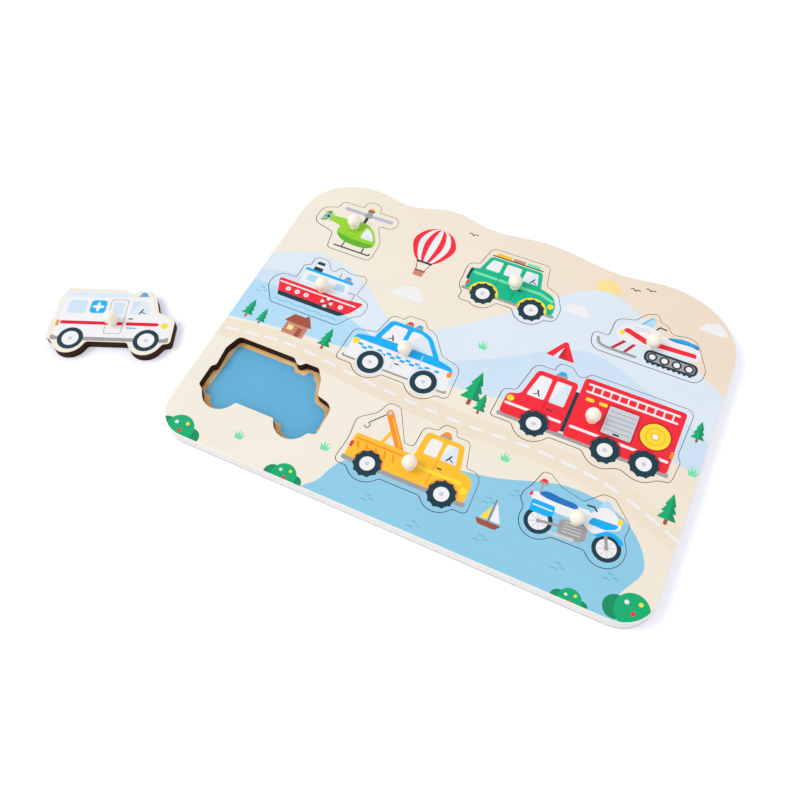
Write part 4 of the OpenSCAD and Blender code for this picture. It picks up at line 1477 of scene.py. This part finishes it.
class Sheet:
    """A flat sheet of wood, cut along closed lines and printed on its face."""

    ARRIS_STEPS = 3
    MERGE = 0.001

    def __init__(self, cuts: list[Cut], top: float, bottom: float) -> None:
        """Takes the cuts, the outer one first, and the heights of the faces in millimetres."""
        self.cuts = cuts
        self.top = top
        self.bottom = bottom
        self.mesh = bmesh.new()
        self.ink = self.mesh.faces.layers.float_color.new(INK_LAYER)
        self.run = self.mesh.loops.layers.float.new(RUN_LAYER)

    def divide(
        self, lines: list[Loop], patches: list[Patch], merge: float
    ) -> tuple[list[Vector], list[list[int]], list[tuple[list[int], int]]]:
        """Divides the area inside the first line and outside the others into triangles.

        Args:
            lines: Closed lines, the outer one first.
            patches: Areas of ink, each lying over the ones before it.
            merge: The distance within which corners become one.

        Returns:
            The corners, the corners of the lines that each stands for, and each triangle with
            the number of its uppermost patch, or -1.
        """
        low, high = box_of(lines[0])
        kept = []
        for number, patch in enumerate(patches):
            (ax, ay), (bx, by) = box_of(patch.edge)
            if ax < high[0] and bx > low[0] and ay < high[1] and by > low[1]:
                kept.append(number)
        points, rings = [], []
        for loop in (*lines, *(patches[number].edge for number in kept)):
            ring = list(range(len(points), len(points) + len(loop)))
            points += [Vector(p) for p in loop]
            rings.append(ring if turns_left(loop) else ring[::-1])
        corners, _, made, origins, _, inside = delaunay_2d_cdt(points, [], rings, 1, merge, True)
        divided = []
        for triangle, rings_round in zip(made, inside):
            if 0 in rings_round and not any(0 < i < len(lines) for i in rings_round):
                top = max(rings_round)
                divided.append((triangle, kept[top - len(lines)] if top else -1))
        return corners, origins, divided

    def face(self, verts: list, slot: Slot, ink: Ink = Ink.CREAM, runs: Sequence = ()) -> None:
        """Adds a face.

        Args:
            verts: Its corners.
            slot: Its finish.
            ink: Its ink.
            runs: How far each corner lies along a curved wall, or nothing on a flat face.
        """
        face = self.mesh.faces.new(verts)
        face.material_index = slot.value
        face.smooth = bool(runs)
        face[self.ink] = ink.linear
        for corner, run in zip(face.loops, runs):
            corner[self.run] = run

    def build(self, patches: list[Patch], bare: Slot = Slot.PRINT) -> Mesh:
        """Makes the closed solid.

        Args:
            patches: The inks on the upper face.
            bare: The finish of the upper face where it has no ink.

        Returns:
            The mesh, in millimetres on the printed face.
        """
        rims = [offset(cut.line, -cut.arris) if cut.arris else cut.line for cut in self.cuts]
        corners, _, divided = self.divide(rims, patches, self.MERGE)
        used = {i for triangle, _ in divided for i in triangle}
        verts = {i: self.mesh.verts.new((*corners[i], self.top)) for i in used}
        edges = set()
        for triangle, number in divided:
            slot, ink = (Slot.PRINT, patches[number].ink) if number >= 0 else (bare, Ink.CREAM)
            self.face([verts[i] for i in triangle], slot, ink)
            edges.update(neighbours(triangle))
        feet = []
        for chain in chains({a: b for a, b in edges if (b, a) not in edges}):
            rim = tuple(tuple(corners[i]) for i in chain)
            cut = min(self.cuts, key=lambda cut: same_box(cut.line, rim))
            foot = self.wall(cut, rim, [verts[i] for i in chain])
            if cut.depth is None:
                feet.append(foot)
        self.underside(feet)
        mesh = bpy.data.meshes.new("sheet")
        bmesh.ops.recalc_face_normals(self.mesh, faces=self.mesh.faces)
        self.mesh.to_mesh(mesh)
        self.mesh.free()
        return mesh

    def wall(self, cut: Cut, rim: Loop, above: list) -> list:
        """Adds the arris and the wall below one rim.

        Args:
            cut: The cut that made the rim.
            rim: The rim's points.
            above: The vertices at these points.

        Returns:
            The vertices at the wall's foot.
        """
        levels = []
        singed = Slot.PRINT if cut.slot is Slot.CUT else cut.slot
        if cut.arris:
            for step in range(1, self.ARRIS_STEPS + 1):
                angle = math.pi / 2 * step / self.ARRIS_STEPS
                out, drop = cut.arris * math.sin(angle), cut.arris * (1 - math.cos(angle))
                levels.append((out, self.top - drop))
            levels.append((cut.arris, self.top - 2 * cut.arris))
        else:
            self.crease(above)
        levels.append((cut.arris, self.bottom if cut.depth is None else self.top - cut.depth))
        runs = [0.0]
        for a, b in neighbours(rim):
            runs.append(runs[-1] + math.dist(a, b))
        for step, (out, z) in enumerate(levels):
            slot = singed if step < min(self.ARRIS_STEPS, len(levels) - 1) else cut.slot
            below = [self.mesh.verts.new((*p, z)) for p in (offset(rim, out) if out else rim)]
            for i in range(len(rim)):
                start, end = runs[(i - 1) % len(rim)], runs[i or len(rim)]
                corners = [above[i - 1], below[i - 1], below[i], above[i]]
                self.face(corners, slot, Ink.SINGED, (start, start, end, end))
            above = below
        self.crease(above)
        if cut.depth is not None:
            self.face(above, cut.slot)
        return above

    def crease(self, ring: list) -> None:
        """Makes the edges of a ring of vertices sharp."""
        for i in range(len(ring)):
            self.mesh.edges.get((ring[i - 1], ring[i])).smooth = False

    def underside(self, feet: list[list]) -> None:
        """Closes the solid between the feet of its through walls."""
        feet = sorted(feet, key=lambda foot: -math.dist(*box_of([v.co.xy for v in foot])))
        lines = [tuple(tuple(v.co.xy) for v in foot) for foot in feet]
        verts = [v for foot in feet for v in foot]
        _, origins, divided = self.divide(lines, [], 0.0)
        for triangle, _ in divided:
            self.face([verts[origins[i][0]] for i in triangle], Slot.WOOD)


class TurnedKnob(Tree):
    """Geometry nodes that turn a knob: a spigot, a rounded foot, a waist and a ball."""

    MILLIMETRES = {
        "Ball": 9.0, "Waist": 5.4, "Waist height": 1.4, "Foot": 6.6, "Foot height": 0.8,
        "Foot edge": 0.35, "Spigot": 4.0, "Spigot length": 4.0,
    }
    SEGMENTS = 48
    EDGE_ROWS = 8
    WAIST_ROWS = 6
    BALL_ROWS = 22

    def __init__(self, material: Material) -> None:
        """Builds the tree, which gives its mesh the material."""
        self.group = bpy.data.node_groups.new("turned_knob", "GeometryNodeTree")
        super().__init__(self.group)
        face = self.group.interface
        for name in self.MILLIMETRES:
            face.new_socket(name, in_out="INPUT", socket_type="NodeSocketFloat")
        face.new_socket("Place", in_out="INPUT", socket_type="NodeSocketVector")
        face.new_socket("Mesh", in_out="OUTPUT", socket_type="NodeSocketGeometry")
        given = self.node("NodeGroupInput").outputs
        sizes = [Wire(self, given[name]) for name in self.MILLIMETRES]
        rows = 3 + self.EDGE_ROWS + self.WAIST_ROWS + self.BALL_ROWS
        mesh = self.node(
            "GeometryNodeMeshGrid",
            {"Size X": 1.0, "Size Y": 1.0, "Vertices X": self.SEGMENTS + 1, "Vertices Y": rows + 1},
        )
        x, y, _ = self.parts(self.node("GeometryNodeInputPosition").outputs[0])
        around = (x + 0.5) * math.tau
        radius, height = self.profile((y + 0.5) * rows, *sizes)
        turned = self.joined(
            radius * self.math("COSINE", around), radius * self.math("SINE", around), height
        )
        for kind, inputs in (
            ("SetPosition", {"Position": self.vector("ADD", turned, given["Place"])}),
            ("MergeByDistance", {"Distance": NEAR}),
            ("SetShadeSmooth", {}),
            ("RealizeInstances", {}),
            ("SetMaterial", {"Material": material}),
        ):
            mesh = self.node(f"GeometryNode{kind}", {0: mesh.outputs[0], **inputs})
        self.node("NodeGroupOutput", {0: mesh.outputs[0]})

    def ramp(self, row: Wire, start: int, rows: int) -> Wire:
        """Rises from nought to one over some rows."""
        inputs = {"Value": row, "From Min": float(start), "From Max": float(start + rows)}
        return Wire(self, self.node("ShaderNodeMapRange", inputs).outputs[0])

    def profile(
        self, row: Wire, ball: Wire, waist: Wire, waist_h: Wire, foot: Wire, foot_h: Wire,
        edge: Wire, spigot: Wire, spigot_l: Wire,
    ) -> tuple[Wire, Wire]:
        """Works out the radius and height of each row, from the spigot's end to the ball's top.

        Args:
            row: The number of the row.
            ball: The ball's diameter.
            waist: The diameter where the ball meets the waist.
            waist_h: The height of that meeting.
            foot: The foot's diameter.
            foot_h: The foot's height.
            edge: The width of the foot's rounding.
            spigot: The spigot's diameter.
            spigot_l: The spigot's length.

        Returns:
            The radius and the height.
        """
        bulge_at, waist_at = 3, 3 + self.EDGE_ROWS
        ball_at = waist_at + self.WAIST_ROWS
        end, shaft, under = (self.ramp(row, i, 1) for i in range(3))
        bulge = self.ramp(row, bulge_at, self.EDGE_ROWS) * math.pi
        hollow = self.ramp(row, waist_at, self.WAIST_ROWS) * (math.pi / 2)
        low = self.math("ARCCOSINE", waist / ball)
        lift = self.ramp(row, ball_at, self.BALL_ROWS) * (low + math.pi / 2) - low
        foot_top = foot * 0.5 - edge
        radius = (
            end * spigot * 0.5
            + under * (foot_top - spigot * 0.5)
            + self.math("SINE", bulge) * edge
            + self.math("SINE", hollow) * (waist * 0.5 - foot_top)
            + (self.math("COSINE", lift) - waist / ball) * ball * 0.5
        )
        height = (
            (shaft - 1.0) * spigot_l
            + (1.0 - self.math("COSINE", bulge)) * foot_h * 0.5
            + (1.0 - self.math("COSINE", hollow)) * (waist_h - foot_h)
            + (self.math("SINE", lift) + self.math("SINE", low)) * ball * 0.5
        )
        return radius, height

    def make(self, name: str, place: Vector) -> None:
        """Turns one knob.

        Args:
            name: The piece's name.
            place: Where the foot's middle stands.
        """
        piece = new_object(name, bpy.data.meshes.new(name))
        modifier = piece.modifiers.new("turned", "NODES")
        modifier.node_group = self.group
        values = {key: size * MM for key, size in self.MILLIMETRES.items()}
        values["Place"] = tuple(place)
        for item in self.group.interface.items_tree:
            if item.name in values:
                modifier[item.identifier] = values[item.name]
        ready = piece.evaluated_get(bpy.context.evaluated_depsgraph_get())
        mesh = bpy.data.meshes.new_from_object(ready)
        piece.modifiers.clear()
        piece.data = mesh


def new_object(name: str, data: bpy.types.ID) -> bpy.types.Object:
    """Puts a mesh, a lamp or a camera into the scene at the origin."""
    made = bpy.data.objects.new(name, data)
    bpy.context.scene.collection.objects.link(made)
    return made


@dataclass(frozen=True)
class Finishes:
    """The materials of the whole puzzle."""

    sheet: tuple[Material, ...]
    turned_sheet: tuple[Material, ...]
    knob: Material

    @classmethod
    def build(cls, turn: float) -> "Finishes":
        """Makes every material, with the grain of the loose piece turned by some degrees."""
        cut, edge = CutFinish().build("burnt_cut"), EdgeFinish().build("painted_edge")
        sets = []
        for angle, ending in ((0.0, ""), (turn, "_turned")):
            printed = PrintFinish(turn=angle).build("printed_veneer" + ending)
            wood = BareWoodFinish(turn=angle).build("bare_plywood" + ending)
            sets.append((printed, cut, wood, edge))
        return cls(*sets, KnobFinish().build("lacquered_knob"))


@dataclass
class Board:
    """The board: a thin back sheet and the printed plate with its openings."""

    corner: Point = (-150.0, -113.0)
    plate_arris: float = 0.5
    base_arris: float = 0.15
    gap: float = 0.2
    tight: float = 0.11
    settled: Point = (-0.05, -0.05)

    @property
    def place(self) -> Matrix:
        """The matrix from millimetres on the printed face to the part's frame."""
        return Matrix.Scale(MM, 4) @ Matrix.Translation((*self.corner, 0.0))

    def build(self, finishes: Finishes, scenery: list[Patch]) -> None:
        """Makes both sheets.

        Args:
            finishes: The puzzle's materials.
            scenery: The landscape's inks.
        """
        outer, *openings = cut_lines("frame_plate", self.place)
        rims = [Cut(outer, self.plate_arris, Slot.EDGE)]
        empty = min(openings, key=lambda line: math.dist(middle_of(line), Van.home))
        for line in openings:
            rims.append(Cut(line if line is empty else self.filled(line)))
        self.sheet("frame_plate", "board_print", finishes, rims, scenery)
        shapes = [Patch(Ink.POOL, patch.edge) for patch in self.prints(openings)]
        base = cut_lines("back_board", self.place)[0]
        rims = [Cut(base, self.base_arris, Slot.EDGE)]
        self.sheet("back_board", "plywood", finishes, rims, shapes)

    def filled(self, line: Loop) -> Loop:
        """The line of an opening whose piece has settled to one side of a fine gap."""
        dx, dy = self.settled
        return tuple((x + dx, y + dy) for x, y in offset(line, self.tight))

    def prints(self, openings: list[Loop]) -> list[Patch]:
        """Every picture as it lies in its opening."""
        patches = []
        for picture in PICTURES:
            opening = min(openings, key=lambda line: math.dist(middle_of(line), picture.home))
            (x, y), _ = box_of(opening)
            pen = Pen(corner=(x + self.gap, y + self.gap))
            picture.draw(pen)
            patches += pen.patches
        return patches

    def sheet(
        self, node: str, slot: str, finishes: Finishes, cuts: list[Cut], patches: list[Patch]
    ) -> None:
        """Makes one sheet in place of its node."""
        low, high = (corner[2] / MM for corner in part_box(node))
        bare = Slot.WOOD if node == "back_board" else Slot.PRINT
        mesh = Sheet(cuts, high, low).build(patches, bare)
        dress(f"{node}_sheet", mesh, self.place, finishes.sheet)
        settle(f"{node}_sheet", "board", node)


@dataclass
class Vehicle:
    """A lift-out piece with its picture and its knob."""

    picture: Picture
    board: Board
    bore_l: float = 4.05

    def build(self, finishes: Finishes, turned: TurnedKnob, scenery: list[Patch]) -> None:
        """Makes the piece and its knob.

        Args:
            finishes: The puzzle's materials.
            turned: The nodes that turn a knob.
            scenery: The landscape's inks, which run on over the piece's margin.
        """
        name = self.picture.name
        node = f"{name}_piece"
        place = self.place(node)
        outer, bore = cut_lines(node, place)
        pen = Pen(corner=box_of(outer)[0], patches=list(scenery))
        self.picture.draw(pen)
        low, high = (corner[2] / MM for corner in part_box(node))
        cuts = [Cut(outer), Cut(bore, 0.0, Slot.WOOD, self.bore_l)]
        mesh = Sheet(cuts, high, low).build(pen.patches)
        look = finishes.turned_sheet if self.picture.turn else finishes.sheet
        dress(f"{name}_sheet", mesh, place, look)
        settle(f"{name}_sheet", name, node)
        turned.make(f"{name}_turned_knob", place @ Vector((*middle_of(bore), high)))
        settle(f"{name}_turned_knob", name, f"{name}_knob")

    def place(self, node: str) -> Matrix:
        """The matrix from millimetres on the printed face to where the piece lies."""
        if not self.picture.turn:
            return self.board.place
        turned = Matrix.Rotation(math.radians(self.picture.turn), 4, "Z") @ Matrix.Scale(MM, 4)
        middle = turned @ Vector((*middle_of(cut_lines(node, turned)[0]), 0.0))
        home = Matrix.Translation((-self.picture.home[0], -self.picture.home[1], 0.0))
        return Matrix.Translation(middle) @ turned @ home


def dress(name: str, mesh: Mesh, place: Matrix, look: tuple[Material, ...]) -> None:
    """Puts a mesh in its place and gives it its materials."""
    mesh.transform(place)
    mesh.name = name
    for material in look:
        mesh.materials.append(material)
    new_object(name, mesh)


def settle(name: str, body: str, node: str) -> None:
    """Joins a piece to its body and the node that it stands for."""
    piece = bpy.data.objects[name]
    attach(piece, body)
    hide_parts(node)
    log.info("%s: %d faces on %s", name, len(piece.data.polygons), body)


@dataclass
class Studio:
    """A white floor, a soft lamp and the camera."""

    camera_at: Triple = (0.101133, -0.269019, 0.439282)
    look_along: Triple = (-0.24634, 0.45780, -0.85424)
    roll: float = -3.495
    lens: float = 38.256
    sensor: float = 36.0
    nearest: float = 0.01
    fill: float = 0.78
    floor_size: float = 4.0
    floor_cells: int = 8
    floor_drop: float = 0.0001
    floor_grey: float = 0.86
    shadow: Triple = (0.72, 0.73, 1.0)
    lift: float = 0.29
    lamp_power: float = 140.0
    lamp_at: Triple = (-4.0, -1.4, 4.8)
    lamp_size: float = 2.8
    lamp_colour: Triple = (1.0, 0.985, 0.96)

    def build(self) -> None:
        """Sets up floor, lamp, world and camera."""
        self.floor()
        self.lamp()
        self.world()
        self.camera()
        bpy.context.scene.view_settings.view_transform = "Standard"

    def seen(self, tree: Tree) -> Wire:
        """Is one for a ray from the camera or a mirror or through glass."""
        path = tree.node("ShaderNodeLightPath").outputs
        rays = [Wire(tree, path[f"Is {kind} Ray"]) for kind in ("Camera", "Glossy", "Transmission")]
        return tree.math("MINIMUM", rays[0] + rays[1] + rays[2], 1.0)

    def floor(self) -> None:
        """Lays a white floor that keeps the shadows."""
        mesh = bmesh.new()
        cells = self.floor_cells
        bmesh.ops.create_grid(mesh, x_segments=cells, y_segments=cells, size=self.floor_size)
        bmesh.ops.translate(mesh, verts=mesh.verts, vec=(0.0, 0.0, -self.floor_drop))
        data = bpy.data.meshes.new("floor")
        mesh.to_mesh(data)
        mesh.free()
        finish = Finish("white_floor")
        grey = self.floor_grey
        shade = finish.node("ShaderNodeBsdfDiffuse", {"Color": (grey, grey, grey, 1.0)})
        glow = finish.node(
            "ShaderNodeEmission",
            {"Color": (*self.shadow, 1.0), "Strength": self.seen(finish) * self.lift},
        )
        both = finish.node("ShaderNodeAddShader", {0: shade.outputs[0], 1: glow.outputs[0]})
        finish.node("ShaderNodeOutputMaterial", {"Surface": both.outputs[0]})
        data.materials.append(finish.material)
        new_object("floor", data)

    def lamp(self) -> None:
        """Hangs a square soft lamp, aimed at the board's middle."""
        light = bpy.data.lights.new("key_lamp", "AREA")
        light.energy = self.lamp_power
        light.size = self.lamp_size
        light.color = self.lamp_colour
        lamp = new_object("key_lamp", light)
        lamp.location = self.lamp_at
        lamp.rotation_euler = (-Vector(self.lamp_at)).to_track_quat("-Z", "Y").to_euler()

    def world(self) -> None:
        """Fills the shadows evenly and shows white behind the object."""
        world = bpy.data.worlds.new("studio")
        world.use_nodes = True
        tree = Tree(world.node_tree)
        strength = self.seen(tree) * (1.0 - self.fill) + self.fill
        inputs = {"Color": (1.0, 1.0, 1.0, 1.0), "Strength": strength}
        sky = tree.node("ShaderNodeBackground", inputs)
        tree.node("ShaderNodeOutputWorld", {"Surface": sky.outputs[0]})
        bpy.context.scene.world = world

    def camera(self) -> None:
        """Sets the camera."""
        data = bpy.data.cameras.new("camera")
        data.sensor_width = self.sensor
        data.lens = self.lens
        data.clip_start = self.nearest
        camera = new_object("camera", data)
        aim = Vector(self.look_along).to_track_quat("-Z", "Y").to_matrix().to_4x4()
        turn = Matrix.Rotation(math.radians(self.roll), 4, "Z")
        camera.matrix_world = Matrix.Translation(self.camera_at) @ aim @ turn
        bpy.context.scene.camera = camera


def main() -> None:
    """Builds the puzzle and the studio."""
    logging.basicConfig(level=logging.INFO, format="%(message)s")
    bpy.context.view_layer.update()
    scenery = Pen()
    Scenery().draw(scenery)
    finishes = Finishes.build(Van.turn)
    board = Board()
    board.build(finishes, scenery.patches)
    turned = TurnedKnob(finishes.knob)
    for picture in PICTURES:
        Vehicle(picture, board).build(finishes, turned, scenery.patches)
    Studio().build()


if __name__ == "__main__":
    main()
